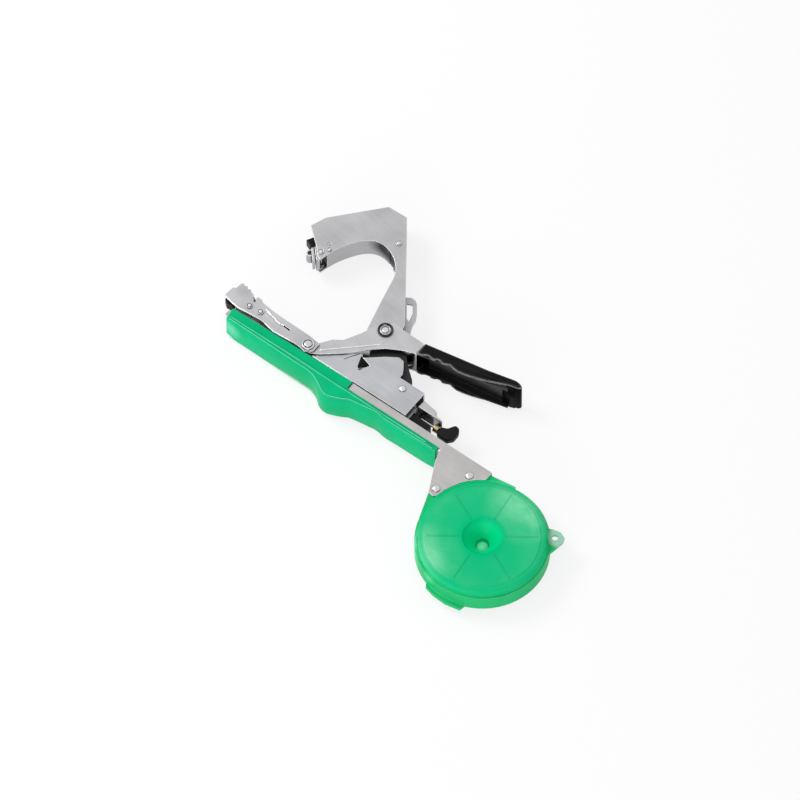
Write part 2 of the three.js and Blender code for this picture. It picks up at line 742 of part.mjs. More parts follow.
const headShares = [
  [-0.997, -0.217], [-0.984, 0.417], [-0.956, 0.475], [-0.944, 0.85], [-0.921, 0.95], [-0.902, 0.85],
  [-0.879, 0.933], [-0.854, 0.8], [-0.829, 0.867], [-0.8, 0.742], [-0.771, 0.725], [-0.752, 0.517],
  [-0.727, 0.517], [-0.721, 0.717], [-0.675, 0.742], [-0.644, 0.617], [-0.487, 0.517], [-0.337, 0.492],
  [-0.059, 0.475], [0.089, 0.383], [0.086, -0.183], [0.014, -0.45], [-0.076, -0.367], [-0.216, -0.383],
  [-0.368, -0.408], [-0.527, -0.292], [-0.667, -0.325], [-0.802, -0.383], [-0.868, -0.342],
];
const headWebShares = [
  [-0.64, 0.6], [-0.487, 0.515], [-0.13, 0.48], [-0.13, 0.39], [-0.487, 0.425], [-0.64, 0.51],
];
const headRivetShares = [[-0.724, 0.033], [-0.594, 0.075]];
const headHoles = { share: [[-0.502, 0.275], [-0.371, 0.142]], radius: [1.1, 0.7] };
const headSlitShares = [[-0.35, 0.19], [-0.24, 0.15], [-0.24, 0.07], [-0.35, 0.11]];
const headNotchShares = [[-0.735, 0.52], [-0.705, 0.51], [-0.705, 0.38], [-0.735, 0.39]];
const headSpread = (shares) => spread(shares, headReach, headHeight);
const headRivetPlaces = headSpread(headRivetShares);

function jawHead() {
  const web = straightShape(headSpread(headWebShares));
  const cuts = [headSlitShares, headNotchShares].map((shares) =>
    plate(straightShape(headSpread(shares)), -overrun - headHalf, headHalf + overrun));
  const holes = headSpread(headHoles.share).map((at, i) =>
    disc(at, headHoles.radius[i], -overrun - headHalf, headHalf + overrun, 12));
  return cheeks(straightShape(headSpread(headShares)), headHalf)
    .add(plate(web, sheet / 2 - headHalf, headHalf - sheet / 2))
    .subtract(joined([...cuts, ...holes]))
    .subtract(joined(headRivetPlaces.map((at) => pinHole(at, headRivetRadius))))
    .subtract(pinHole(leverPivot, leverPinRadius));
}

// Plate on top of the jaw, with teeth across it and a slot for the staple
const jawPlate = { front: -59, back: -46, low: 6.9, top: 7.9, tooth: 1.3 };
const jawWindow = { front: -54.8, back: -49.2, half: 4.7 }; // lets the staple and the cutter through
const stapleSlot = { at: -50, wide: 1.6 };
function jawFace() {
  const half = headHalf - stackStep;
  const teeth = [];
  for (let x = jawPlate.front; x + jawPlate.tooth <= jawPlate.back; x += 2 * jawPlate.tooth)
    teeth.push(box([x, jawPlate.low, -half], [x + jawPlate.tooth, jawPlate.top, half]));
  const thin = jawPlate.top - sheet / 2;
  return box([jawPlate.front, jawPlate.low, -half], [jawPlate.back, thin, half])
    .add(joined(teeth))
    .subtract(box([jawWindow.front, 0, -jawWindow.half], [jawWindow.back, headHeight, jawWindow.half]));
}

const magSplit = { at: -6, ramp: -8, top: 4.4 };
function magazineChannel() {
  const outline = straightShape([
    point(magFront, magLow), point(magBack, magLow), point(magBack, magTop), point(magSplit.at, magTop),
    point(magSplit.ramp, magSplit.top), point(magFront, magSplit.top),
  ]);
  const inside = magHalf - magWall;
  const slotHalf = stapleSlot.wide / 2;
  return plate(outline, -magHalf, magHalf)
    .subtract(box([magFront - overrun, magLow + magWall, -inside],
      [magBack + overrun, magTop + overrun, inside]))
    .subtract(box([stapleSlot.at - slotHalf, magLow - overrun, -driverHalf - airGap],
      [stapleSlot.at + slotHalf, 0, driverHalf + airGap]));
}

// Bar inside the staples' legs, on a foot at each end
const trackHalf = 2.4;
const trackEnd = 70;
const trackFoot = 3;
const stapleCrown = magLow + magWall + airGap;
function stapleTrack() {
  const front = staplesFront + airGap;
  const low = stapleCrown + stapleWire + airGap;
  return box([front, low, -trackHalf], [trackEnd, stapleFloor, trackHalf])
    .add(box([trackEnd - trackFoot, stapleCrown, -trackHalf], [trackEnd, stapleFloor, trackHalf]));
}

function staples() {
  const outer = trackHalf + airGap + stapleWire;
  const inner = trackHalf + airGap;
  return box([staplesFront, stapleCrown, -outer], [staplesBack, stapleCrown + stapleHigh, outer])
    .subtract(box([staplesFront - overrun, stapleCrown + stapleWire, -inner],
      [staplesBack + overrun, magTop, inner]));
}

const pusherFront = staplesBack + airGap;
const pusherBack = pusherFront + pusherLong;
const pusherHalf = magHalf - magWall - airGap;
const pusherTop = magTop - airGap;
function pusherBlock() {
  const room = trackHalf + airGap;
  const low = stapleCrown + stapleWire;
  const rodHole = new THREE.CylinderGeometry(rodRadius + airGap, rodRadius + airGap, pusherLong / 2, 12)
    .rotateZ(Math.PI / 2).translate(pusherBack, rodRise, 0);
  return box([pusherFront, stapleCrown, -pusherHalf], [pusherBack, pusherTop, pusherHalf])
    .subtract(box([pusherFront - overrun, low, -room], [pusherBack + overrun, stapleFloor + airGap, room]))
    .subtract(solidOf(rodHole));
}

// A round bar along X
function roundBar(from, to, radius, rise, sides = 12) {
  const geometry = new THREE.CylinderGeometry(radius, radius, to - from, sides);
  return solidOf(geometry.rotateZ(Math.PI / 2).translate((from + to) / 2, rise, 0));
}

const blockWall = 2.6;
function endBlock() {
  const outline = straightShape([
    point(blockFront, blockLow), point(blockBack, blockLow), point(blockBack, blockTop - airGap),
    point(blockFront + blockWall, blockTop), point(blockFront + blockWall, magTop),
    point(blockFront, magTop),
  ]);
  return plate(outline, -magHalf, magHalf)
    .subtract(roundBar(blockFront - overrun, blockBack + overrun, rodRadius + airGap, rodRise));
}

const coverShares = [[0, 0], [0.02, 1], [0.64, 0.68], [0.66, 0.28], [1, 0.1], [1, 0]];
function magazineCover() {
  const length = coverBack - coverFront;
  const height = coverTop - coverLow;
  const corner = point(coverFront, coverLow);
  const outline = spread(coverShares, length, height, corner);
  const inner = shifted(outline.slice(0, 5), sheet);
  const room = [point(coverFront + sheet, coverLow - overrun), ...inner.slice(1, 4),
    point(coverBack - sheet, coverLow)];
  return plate(straightShape(outline), -coverHalf, coverHalf)
    .subtract(plate(straightShape([...room, point(coverBack - sheet, coverLow - overrun)]),
      sheet - coverHalf, coverHalf - sheet));
}

const hookShares = [
  [0, -0.26], [0.267, -0.36], [0.725, -0.33], [0.967, 0.02], [0.967, 0.54], [0.8, 0.86], [0.55, 0.9],
  [0.433, 0.68], [0.317, 0.42], [0, 0.28],
];
const hookFront = 97.8;
function pusherHook() {
  const outline = spread(hookShares, hookLong, hookHigh, point(hookFront, rodRise - rodRadius));
  return plate(straightShape(outline), -hookHalf, hookHalf);
}

const guideShares = [[-0.984, -0.25], [-0.97, -0.08], [-0.87, -0.08], [-0.87, -0.4], [-0.935, -0.45]];
const guideLow = 3.2;
const guideHigh = 9.2;
const tapeGuide = () => plate(straightShape(headSpread(guideShares)), guideLow, guideHigh);

// Driver that stands on the rail and lifts the front staple
const driverHalf = 3.3;
const driverThick = 0.7;
const driverTop = -4.5;
const holderFront = railFront + airGap;
const holderLong = 5.7;
const holderBack = holderFront + holderLong;
const holderTop = -8.0;
function driverBlade() {
  return box([stapleSlot.at - driverThick / 2, railFloor + sheet + airGap, -driverHalf],
    [stapleSlot.at + driverThick / 2, driverTop, driverHalf]);
}
function driverHolder() {
  const half = armHalf - sheet - airGap;
  return box([holderFront, railFloor + sheet + airGap, -half], [holderBack, holderTop, half])
    .subtract(box([stapleSlot.at - driverThick / 2 - airGap, railFloor, -driverHalf - airGap],
      [stapleSlot.at + driverThick / 2 + airGap, holderTop + overrun, driverHalf + airGap]));
}

const leafShares = [[-0.1, -0.89], [-0.25, -0.89], [-0.62, -0.4], [-0.68, -0.4]];
const leafThick = 0.6;
const leafHalf = 3.5;
function magazineSpring() {
  const line = headSpread(leafShares);
  return plate(straightShape([...line, ...shifted(line, leafThick).reverse()]), -leafHalf, leafHalf);
}

// Lever

const leverShares = [
  [0, -0.095], [0, 0.095], [0.03, 0.093], [0.08, 0.28], [0.127, 0.364], [0.175, 0.589],
  [0.212, 0.811], [0.28, 1],
  [0.324, 0.987], [0.473, 0.982], [0.485, 0.95], [0.985, 1.16], [1, 1.07], [0.847, 0.968], [0.678, 0.911],
  [0.525, 0.811], [0.462, 0.767], [0.401, 0.702], [0.333, 0.598], [0.274, 0.46], [0.231, 0.333],
  [0.175, 0.189],
  [0.081, -0.013], [0.034, -0.084],
];
const leverWebShares = [[0.52, 0.965], [0.985, 1.16], [0.985, 1.137], [0.52, 0.942]];
const leverRibShares = [[0.069, 0.044], [0.299, 0.611]];

function leverFrame() {
  const leverSpread = (shares) => spread(shares, leverReach, leverRise);
  const [ribFrom, ribTo] = leverSpread(leverRibShares);
  const boss = disc(leverPivot, leverPivotBoss, leverHalf - sheet, leverHalf, 20);
  const rib = bar(ribFrom, ribTo, ribWide, leverHalf - sheet, leverHalf + ribRise)
    .add(disc(ribTo, ribWide / 2, leverHalf - sheet, leverHalf + ribRise, 10));
  const web = straightShape(leverSpread(leverWebShares));
  return cheeks(straightShape(leverSpread(leverShares)), leverHalf)
    .add(boss)
    .add(mirrored(boss))
    .add(rib)
    .add(mirrored(rib))
    .add(plate(web, sheet / 2 - leverHalf, leverHalf - sheet / 2))
    .subtract(pinHole(leverPivot, leverPinRadius))
    .subtract(pinHole(linkAt, linkPinRadius));
}

const gripOuterShares = [
  [0.441, 0.779], [0.769, 0.919], [0.91, 0.995], [0.935, 0.99], [0.952, 0.97], [0.957, 0.942],
  [0.948, 0.918],
  [0.935, 0.908],
];
const gripLowShares = [
  [0.92, 0.9], [0.882, 0.873], [0.815, 0.806], [0.769, 0.765], [0.712, 0.723], [0.646, 0.695],
  [0.608, 0.712],
  [0.577, 0.677], [0.55, 0.695], [0.523, 0.656], [0.492, 0.667], [0.465, 0.625], [0.438, 0.621],
];
const gripRoomShares = [
  [0.4, 0.714], [0.444, 0.757], [0.895, 0.936], [0.92, 0.92], [0.925, 0.85], [0.925, 0.3], [0.4, 0.3],
];
const waveSteps = 22;
function leverGrip() {
  const low = smooth(spread(gripLowShares, gripReach, gripRise), waveSteps);
  const outline = straightShape([...spread(gripOuterShares, gripReach, gripRise), ...low]);
  const room = straightShape(spread(gripRoomShares, gripReach, gripRise));
  const outer = leverHalf + airGap + gripWall;
  return softPlate(outline, -outer, outer, gripBend)
    .subtract(plate(room, -leverHalf - airGap, leverHalf + airGap));
}

const tabShares = [
  [0.85, 0.592], [1.0, 0.592], [0.93, 0.64], [0.872, 0.701], [0.843, 0.748], [0.823, 0.814], [0.779, 0.866],
  [0.683, 0.948], [0.634, 0.968], [0.566, 0.97], [0.511, 0.945], [0.42, 0.94], [0.4, 0.905], [0.45, 0.88],
  [0.54, 0.865], [0.66, 0.765], [0.79, 0.66],
];
const tabSlotShares = [[0.577, 0.897], [0.645, 0.918], [0.726, 0.852], [0.76, 0.77], [0.709, 0.782]];
const tabBarShares = [[0.94, 0.592], [1.06, 0.592], [1.06, 0.606], [0.94, 0.606]];
function springTab() {
  const tabSpread = (shares) => straightShape(spread(shares, springTabReach, springTabRise));
  const half = leverHalf - sheet - airGap;
  return plate(tabSpread(tabShares), -springTabHalf, springTabHalf)
    .subtract(plate(tabSpread(tabSlotShares), -overrun, overrun))
    .add(plate(tabSpread(tabBarShares), -half, half));
}

const springSeatShares = [[0.405, 0.925]];
const springClear = 0.6;
function armSpring() {
  const from = spread(springSeatShares, springTabReach, springTabRise)[0];
  const along = anchorAt.clone().sub(from).normalize();
  const start = from.clone().addScaledVector(along, airGap);
  const end = anchorAt.clone().addScaledVector(along, -anchorPinRadius - airGap);
  return coil(start, end, armSpringMean, armSpringWire, armSpringCurls);
}

function ferrule() {
  const back = hookFront - airGap;
  return roundBar(back - ferruleLong, back, ferruleRadius, rodRise, 16)
    .subtract(roundBar(back - ferruleLong - overrun, back + overrun, rodRadius + airGap, rodRise));
}

// Assembly

addMesh("handle_rail", handleRail(), finish.steel);
addMesh("side_frame", sideFrame(), finish.steel);
addMesh("handle_grip", handleGrip(), finish.green);
addMesh("tape_bracket", tapeBracket(), finish.bracket);
addMesh("driver_blade", driverBlade(), finish.rivet);
addMesh("driver_holder", driverHolder(), finish.blackPlastic);
addMesh("magazine_spring", magazineSpring(), finish.dark);
addMesh("lever_pin_near", leverPin(1), finish.rivet);
addMesh("lever_pin_far", leverPin(-1), finish.rivet);
addMesh("arm_pin_near", armPin(1), finish.rivet);
addMesh("arm_pin_far", armPin(-1), finish.rivet);

addMesh("case_base", caseBase(), finish.greenCase);
caseRivetPlaces.forEach((at, i) =>
  addMesh("case_rivet_" + (i + 1), throughRivet(at, caseRivetRadius, caseRivetHead,
    frameHalf + airGap), finish.rivet));
addMesh("case_lid", caseLid(), finish.greenCase);
addMesh("tape_core", ring(caseAt, coreInner, coreOuter, -rollHalf, rollHalf, 36), finish.blackPlastic);
addMesh("tape_roll", ring(caseAt, coreOuter + airGap, coreOuter + airGap + rollWound, -rollHalf,
  rollHalf, 48),
  finish.tape);

addMesh("jaw_head", jawHead(), finish.steel);
addMesh("jaw_face", jawFace(), finish.steel);
addMesh("tape_guide", tapeGuide(), finish.blackPlastic);
addMesh("magazine_channel", magazineChannel(), finish.steel);
addMesh("staple_track", stapleTrack(), finish.steel);
addMesh("staples", staples(), finish.rivet);
addMesh("magazine_cover", magazineCover(), finish.bracket);
addMesh("end_block", endBlock(), finish.blackPlastic);
headRivetPlaces.forEach((at, i) => {
  const stud = rivet(at, headRivetRadius, headRivetHead, magHalf + airGap, headHalf + airGap, 1);
  addMesh("head_rivet_near_" + (i + 1), stud, finish.rivet);
  addMesh("head_rivet_far_" + (i + 1), mirrored(stud), finish.rivet);
});

addMesh("pusher_block", pusherBlock(), finish.blackPlastic);
addMesh("pusher_rod", roundBar(pusherBack - pusherLong / 4 + airGap, hookFront - airGap, rodRadius,
  rodRise),
  finish.rivet);
addMesh("pusher_spring", coil(point(pusherBack + springClear, rodRise),
  point(blockFront - springClear, rodRise),
  pusherSpringMean, pusherSpringWire, pusherSpringCurls), finish.rivet);
addMesh("pusher_ferrule", ferrule(), finish.brass);
addMesh("pusher_hook", pusherHook(), finish.blackPlastic);

addMesh("lever_frame", leverFrame(), finish.steel);
addMesh("lever_grip", leverGrip(), finish.blackPlastic);
addMesh("link_pin", linkPin(), finish.rivet);
addMesh("link_collar", ring(linkAt, linkCollarInner, linkCollarOuter, leverHalf + airGap,
  leverHalf + airGap + linkRingThick + airGap), finish.steel);
addMesh("link_ring", ring(linkAt, linkPinRadius + airGap, linkCollarOuter,
  -leverHalf - airGap - linkRingThick,
  -leverHalf - airGap), finish.dark);
addMesh("spring_tab", springTab(), finish.steel);

addMesh("arm_channel", armChannel(), finish.steel);
addMesh("arm_limb", armLimb(), finish.dark);
addMesh("anchor_pin", throughRivet(anchorAt, anchorPinRadius, anchorPinHead, armHalf + airGap,
  headRise / 2),
  finish.rivet);
addMesh("anvil", anvil(), finish.rivet);
addMesh("tape_cutter", tapeCutter(), finish.steel);
screwPlaces.forEach((at, i) =>
  addMesh("tip_screw_" + (i + 1), throughRivet(at, tipScrewRadius, screwHeads[i], armHalf + airGap,
    headRise / 2),
    finish.rivet));
addMesh("arm_spring", armSpring(), finish.rivet);
addMesh("gripper_pin", disc(gripperPin, gripperPinRadius, -armHalf, armHalf, 16), finish.rivet);
addMesh("tape_gripper", tapeGripper(), finish.blackPlastic);

// Stand the tool on z = 0, its box centred
const bounds = new THREE.Box3().setFromObject(tool);
const middle = bounds.getCenter(new THREE.Vector3());
tool.position.set(-middle.x, -middle.y, -bounds.min.z);

export default tool;
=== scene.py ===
import bpy
import bmesh
import json
import math
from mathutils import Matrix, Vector

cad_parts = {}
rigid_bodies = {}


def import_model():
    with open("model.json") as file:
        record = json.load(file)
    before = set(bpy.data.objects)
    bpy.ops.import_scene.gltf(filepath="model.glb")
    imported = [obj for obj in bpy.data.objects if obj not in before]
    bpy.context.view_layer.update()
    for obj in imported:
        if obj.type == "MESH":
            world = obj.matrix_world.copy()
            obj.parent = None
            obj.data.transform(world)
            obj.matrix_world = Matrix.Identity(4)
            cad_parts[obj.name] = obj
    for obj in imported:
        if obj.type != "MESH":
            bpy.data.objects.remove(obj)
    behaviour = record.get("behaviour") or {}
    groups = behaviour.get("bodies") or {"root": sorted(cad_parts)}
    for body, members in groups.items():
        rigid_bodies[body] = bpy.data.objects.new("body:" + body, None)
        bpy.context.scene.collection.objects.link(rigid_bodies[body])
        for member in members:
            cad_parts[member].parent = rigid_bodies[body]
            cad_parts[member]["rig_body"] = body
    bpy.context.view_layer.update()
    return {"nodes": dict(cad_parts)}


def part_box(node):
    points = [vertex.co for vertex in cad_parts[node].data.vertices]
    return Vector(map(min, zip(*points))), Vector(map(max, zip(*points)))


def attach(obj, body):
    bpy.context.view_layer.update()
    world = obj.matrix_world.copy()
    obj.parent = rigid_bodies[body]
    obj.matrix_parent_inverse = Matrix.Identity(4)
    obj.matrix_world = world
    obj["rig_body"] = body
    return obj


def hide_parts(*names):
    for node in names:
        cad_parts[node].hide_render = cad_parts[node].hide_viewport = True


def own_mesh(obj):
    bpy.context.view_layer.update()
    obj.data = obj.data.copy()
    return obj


# Plant tying tool: finer pieces and finishes on the tool's frame

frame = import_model()
nodes = frame["nodes"]
scene = bpy.context.scene
mm = 0.001

nearPin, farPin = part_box("lever_pin_near"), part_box("lever_pin_far")
pivot = Vector(((nearPin[0].x + nearPin[1].x) / 2, (nearPin[0].y + nearPin[1].y) / 2,
                (farPin[0].z + nearPin[1].z) / 2))


def place(x, y, z=0.0):  # millimetres from the lever's pivot on the tool's middle plane
    return pivot + Vector((x, y, z)) * mm


def tint(r, g, b):  # a colour as the screen shows it, 0 to 255, with the screen's curve taken off
    return tuple(((c / 255 + 0.055) / 1.055) ** 2.4 if c > 10 else c / 255 / 12.92 for c in (r, g, b)) + (1.0,)


# shared shader groups
def newGroup(name, inputs, outputs):
    tree = bpy.data.node_groups.new(name, "ShaderNodeTree")
    for label, kind, value in inputs:
        socket = tree.interface.new_socket(label, in_out="INPUT", socket_type=kind)
        if value is not None:
            socket.default_value = value
    for label, kind in outputs:
        tree.interface.new_socket(label, in_out="OUTPUT", socket_type=kind)
    return tree, tree.nodes.new("NodeGroupInput"), tree.nodes.new("NodeGroupOutput")


def feed(tree, socket, value):  # a plain value, or what another node puts out
    if isinstance(value, bpy.types.NodeSocket):
        tree.links.new(value, socket)
    elif value is not None:
        socket.default_value = value


def mathNode(tree, operation, a, b=None, c=None, clamp=False):
    node = tree.nodes.new("ShaderNodeMath")
    node.operation = operation
    node.use_clamp = clamp
    for socket, value in zip(node.inputs, (a, b, c)):
        feed(tree, socket, value)
    return node.outputs[0]


def noiseNode(tree, where, scale, detail):
    node = tree.nodes.new("ShaderNodeTexNoise")
    node.inputs["Detail"].default_value = detail
    feed(tree, node.inputs["Vector"], where)
    feed(tree, node.inputs["Scale"], scale)
    return node.outputs[0]


def distanceFrom(tree, where, spot):
    node = tree.nodes.new("ShaderNodeVectorMath")
    node.operation = "DISTANCE"
    feed(tree, node.inputs[0], where)
    feed(tree, node.inputs[1], spot)
    return node.outputs["Value"]


def makeEdgeWearAndHighlight():  # a mask for rubbed edges that also paints their highlights, and a normal that rounds them
    tree, inside, out = newGroup(
        "edgeWearAndHighlight",
        [("Radius", "NodeSocketFloat", 0.0003), ("Gain", "NodeSocketFloat", 6.0),
         ("Breakup", "NodeSocketFloat", 900.0)],
        [("Mask", "NodeSocketFloat"), ("Normal", "NodeSocketVector")],
    )
    bevel = tree.nodes.new("ShaderNodeBevel")
    bevel.samples = 4
    tree.links.new(inside.outputs["Radius"], bevel.inputs["Radius"])
    surface = tree.nodes.new("ShaderNodeNewGeometry")
    dot = tree.nodes.new("ShaderNodeVectorMath")
    dot.operation = "DOT_PRODUCT"
    tree.links.new(bevel.outputs[0], dot.inputs[0])
    tree.links.new(surface.outputs["Normal"], dot.inputs[1])
    turned = mathNode(tree, "SUBTRACT", 1.0, dot.outputs["Value"])
    gained = mathNode(tree, "MULTIPLY", turned, inside.outputs["Gain"], clamp=True)
    where = tree.nodes.new("ShaderNodeTexCoord")
    noise = noiseNode(tree, where.outputs["Object"], inside.outputs["Breakup"], 3.0)
    broken = mathNode(tree, "MULTIPLY_ADD", noise, 0.8, 0.55)
    tree.links.new(mathNode(tree, "MULTIPLY", gained, broken, clamp=True), out.inputs["Mask"])
    tree.links.new(bevel.outputs[0], out.inputs["Normal"])
    return tree


def makeGrain():  # fine brushing in one direction, over broad clouds
    tree, inside, out = newGroup(
        "brushedGrain",
        [("Fine", "NodeSocketFloat", 2500.0), ("Stretch", "NodeSocketFloat", 0.02), ("Turn", "NodeSocketFloat", 0.0)],
        [("Height", "NodeSocketFloat"), ("Tone", "NodeSocketFloat")],
    )
    where = tree.nodes.new("ShaderNodeTexCoord")
    spun = tree.nodes.new("ShaderNodeVectorRotate")
    spun.rotation_type = "Z_AXIS"
    tree.links.new(where.outputs["Object"], spun.inputs["Vector"])
    tree.links.new(inside.outputs["Turn"], spun.inputs["Angle"])
    scale = tree.nodes.new("ShaderNodeCombineXYZ")
    tree.links.new(inside.outputs["Stretch"], scale.inputs["X"])
    scale.inputs["Y"].default_value = 1.0
    scale.inputs["Z"].default_value = 1.0
    stretched = tree.nodes.new("ShaderNodeVectorMath")
    stretched.operation = "MULTIPLY"
    tree.links.new(spun.outputs[0], stretched.inputs[0])
    tree.links.new(scale.outputs[0], stretched.inputs[1])
    fine = noiseNode(tree, stretched.outputs[0], inside.outputs["Fine"], 4.0)
    broad = noiseNode(tree, where.outputs["Object"], 55.0, 3.0)
    tone = mathNode(tree, "MULTIPLY_ADD", fine, 0.45, mathNode(tree, "MULTIPLY", broad, 0.55))
    tree.links.new(fine, out.inputs["Height"])
    tree.links.new(tone, out.inputs["Tone"])
    return tree


def makeMottle():  # broad clouds for the tone of a moulding, fine ones for its skin
    tree, inside, out = newGroup(
        "mottle",
        [("Broad", "NodeSocketFloat", 40.0), ("Fine", "NodeSocketFloat", 2600.0)],
        [("Tone", "NodeSocketFloat"), ("Height", "NodeSocketFloat")],
    )
    where = tree.nodes.new("ShaderNodeTexCoord")
    for label, size, detail in (("Tone", "Broad", 4.0), ("Height", "Fine", 2.0)):
        noise = noiseNode(tree, where.outputs["Object"], inside.outputs[size], detail)
        tree.links.new(noise, out.inputs[label])
    return tree


def makeCrevice():  # a mask for where two pieces meet and light hardly comes
    tree, inside, out = newGroup(
        "crevice",
        [("Reach", "NodeSocketFloat", 0.0016), ("Open", "NodeSocketFloat", 0.8)],
        [("Mask", "NodeSocketFloat")],
    )
    around = tree.nodes.new("ShaderNodeAmbientOcclusion")
    around.samples = 8
    tree.links.new(inside.outputs["Reach"], around.inputs["Distance"])
    spread = tree.nodes.new("ShaderNodeMapRange")
    spread.inputs["From Min"].default_value = 0.15  # as good as shut
    spread.inputs["To Min"].default_value = 1.0
    spread.inputs["To Max"].default_value = 0.0
    tree.links.new(around.outputs["AO"], spread.inputs["Value"])
    tree.links.new(inside.outputs["Open"], spread.inputs["From Max"])
    tree.links.new(spread.outputs[0], out.inputs["Mask"])
    return tree


edgeWearAndHighlight = makeEdgeWearAndHighlight()
crevice = makeCrevice()
brushedGrain = makeGrain()
mottle = makeMottle()
print("shader groups ready")


# finishes
def useGroup(tree, group, **values):
    node = tree.nodes.new("ShaderNodeGroup")
    node.node_tree = group
    for label, value in values.items():
        node.inputs[label].default_value = value
    return node


def mixColour(tree, factor, a, b):
    node = tree.nodes.new("ShaderNodeMix")
    node.data_type = "RGBA"
    for socket, value in ((node.inputs[0], factor), (node.inputs[6], a), (node.inputs[7], b)):
        feed(tree, socket, value)
    return node.outputs[2]


def remap(tree, value, low, high, fromLow=0.3, fromHigh=0.7):
    node = tree.nodes.new("ShaderNodeMapRange")
    node.inputs["From Min"].default_value = fromLow
    node.inputs["From Max"].default_value = fromHigh
    node.inputs["To Min"].default_value = low
    node.inputs["To Max"].default_value = high
    tree.links.new(value, node.inputs["Value"])
    return node.outputs[0]


def shaderOf(material):
    return material.node_tree, material.node_tree.nodes["Principled BSDF"]


def startMaterial(name, **fixed):
    material = bpy.data.materials.new(name)
    material.use_nodes = True
    tree, shader = shaderOf(material)
    for label, value in fixed.items():
        shader.inputs[label.replace("_", " ")].default_value = value
    return material, tree, shader


def addBump(tree, shader, height, strength, distance, normal):
    bump = tree.nodes.new("ShaderNodeBump")
    bump.inputs["Strength"].default_value = strength
    bump.inputs["Distance"].default_value = distance
    tree.links.new(height, bump.inputs["Height"])
    tree.links.new(normal, bump.inputs["Normal"])
    tree.links.new(bump.outputs[0], shader.inputs["Normal"])


# edges in the edge colour: painted highlights on the sheets and mouldings, darker rims and ribs on the lid
def tintEdges(tree, edgeRounding, colour, edge, edgeShare):
    return mixColour(tree, mathNode(tree, "MULTIPLY", edgeRounding.outputs["Mask"], edgeShare), colour, edge)


def shadeCrevices(tree, colour, reach, depth, shadow, wide=0.85):
    dim = useGroup(tree, crevice, Reach=reach * mm, Open=wide)
    return mixColour(tree, mathNode(tree, "MULTIPLY", dim.outputs["Mask"], depth), colour, shadow)


metalSkin = {
    "edgeRounding": {"Radius": 0.55 * mm, "Gain": 11.0},
    "wideCrevice": (0.55, tint(40, 40, 42), 0.7),  # painted shade: how strong, its colour, how open before it stays clear
    "tightCrevice": (0.95, tint(6, 6, 7), 0.85),
    "grainDepth": 0.02 * mm,
}


def metal(name, dark, light, rough, grain, turn=0.0, metallic=1.0, edge=None, edgeShare=0.9, bump=0.12,
          reach=1.5, deep=6.0):  # reach and deep: millimetres over which the painted shade of tight and wide crevices shows
    material, tree, shader = startMaterial(name, Metallic=metallic)
    brushed = useGroup(tree, brushedGrain, Fine=grain, Turn=turn)
    edgeRounding = useGroup(tree, edgeWearAndHighlight, **metalSkin["edgeRounding"])
    colour = mixColour(tree, remap(tree, brushed.outputs["Tone"], 0, 1), dark, light)
    if edge:
        colour = tintEdges(tree, edgeRounding, colour, edge, edgeShare)
    colour = shadeCrevices(tree, colour, deep, *metalSkin["wideCrevice"])
    colour = shadeCrevices(tree, colour, reach, *metalSkin["tightCrevice"])
    tree.links.new(colour, shader.inputs["Base Color"])
    tree.links.new(remap(tree, brushed.outputs["Tone"], rough[0], rough[1]), shader.inputs["Roughness"])
    addBump(tree, shader, brushed.outputs["Height"], bump, metalSkin["grainDepth"], edgeRounding.outputs["Normal"])
    return material


mouldedSkin = {"broad": 40.0, "fine": 2600.0, "breakup": 300.0, "depth": 0.03 * mm}


def plastic(name, dark, light, rough, edge=None, edgeShare=0.5, bump=0.08, fine=mouldedSkin["fine"], span=0.5, gain=4.0,
            deep=None, **fixed):  # span in millimetres; deep: reach, strength and colour of the painted shade in its crevices
    material, tree, shader = startMaterial(name, **fixed)
    mottled = useGroup(tree, mottle, Broad=mouldedSkin["broad"], Fine=fine)
    colour = mixColour(tree, remap(tree, mottled.outputs["Tone"], 0, 1), dark, light)
    edgeRounding = useGroup(tree, edgeWearAndHighlight, Radius=span * mm, Gain=gain, Breakup=mouldedSkin["breakup"])
    if edge:
        colour = tintEdges(tree, edgeRounding, colour, edge, edgeShare)
    if deep:
        colour = shadeCrevices(tree, colour, *deep)
    tree.links.new(colour, shader.inputs["Base Color"])
    tree.links.new(remap(tree, mottled.outputs["Tone"], rough[0], rough[1]), shader.inputs["Roughness"])
    addBump(tree, shader, mottled.outputs["Height"], bump, mouldedSkin["depth"], edgeRounding.outputs["Normal"])
    return material


# near white: the painted highlight along the sheets' edges
brightEdge = tint(240, 240, 240)
deepShadow = tint(12, 12, 13)
softSheen = {"Specular_IOR_Level": 0.04}

steel = metal("zincSheet", tint(164, 164, 167), tint(186, 186, 188), (0.34, 0.48), 2500, 0.12, edge=brightEdge)
armSteel = metal("armSheet", tint(164, 164, 167), tint(186, 186, 188), (0.34, 0.48), 2500, 0.12, edge=brightEdge)
jawSteel = metal("jawSheet", tint(168, 168, 171), tint(186, 186, 189), (0.34, 0.48), 2500, 0.3, edge=brightEdge)
plateSteel = metal("plateSheet", tint(166, 167, 171), tint(186, 187, 191), (0.34, 0.48), 2500, edge=brightEdge)
leverSteel = metal("leverSheet", tint(172, 172, 175), tint(191, 191, 193), (0.34, 0.46), 2200, 0.5,
                   edge=tint(244, 244, 244))
tabSteel = metal("tabSheet", tint(158, 158, 160), tint(186, 186, 188), (0.3, 0.44), 2300, 0.9,
                 edge=tint(230, 230, 230))
warmSteel = metal("bracketSheet", tint(168, 165, 165), tint(188, 185, 185), (0.36, 0.5), 2400,
                  edge=tint(240, 236, 235))
rivetSteel = metal("platedRivet", tint(196, 196, 199), tint(222, 222, 224), (0.2, 0.32), 900, 0.3, bump=0.04,
                   reach=0.9)
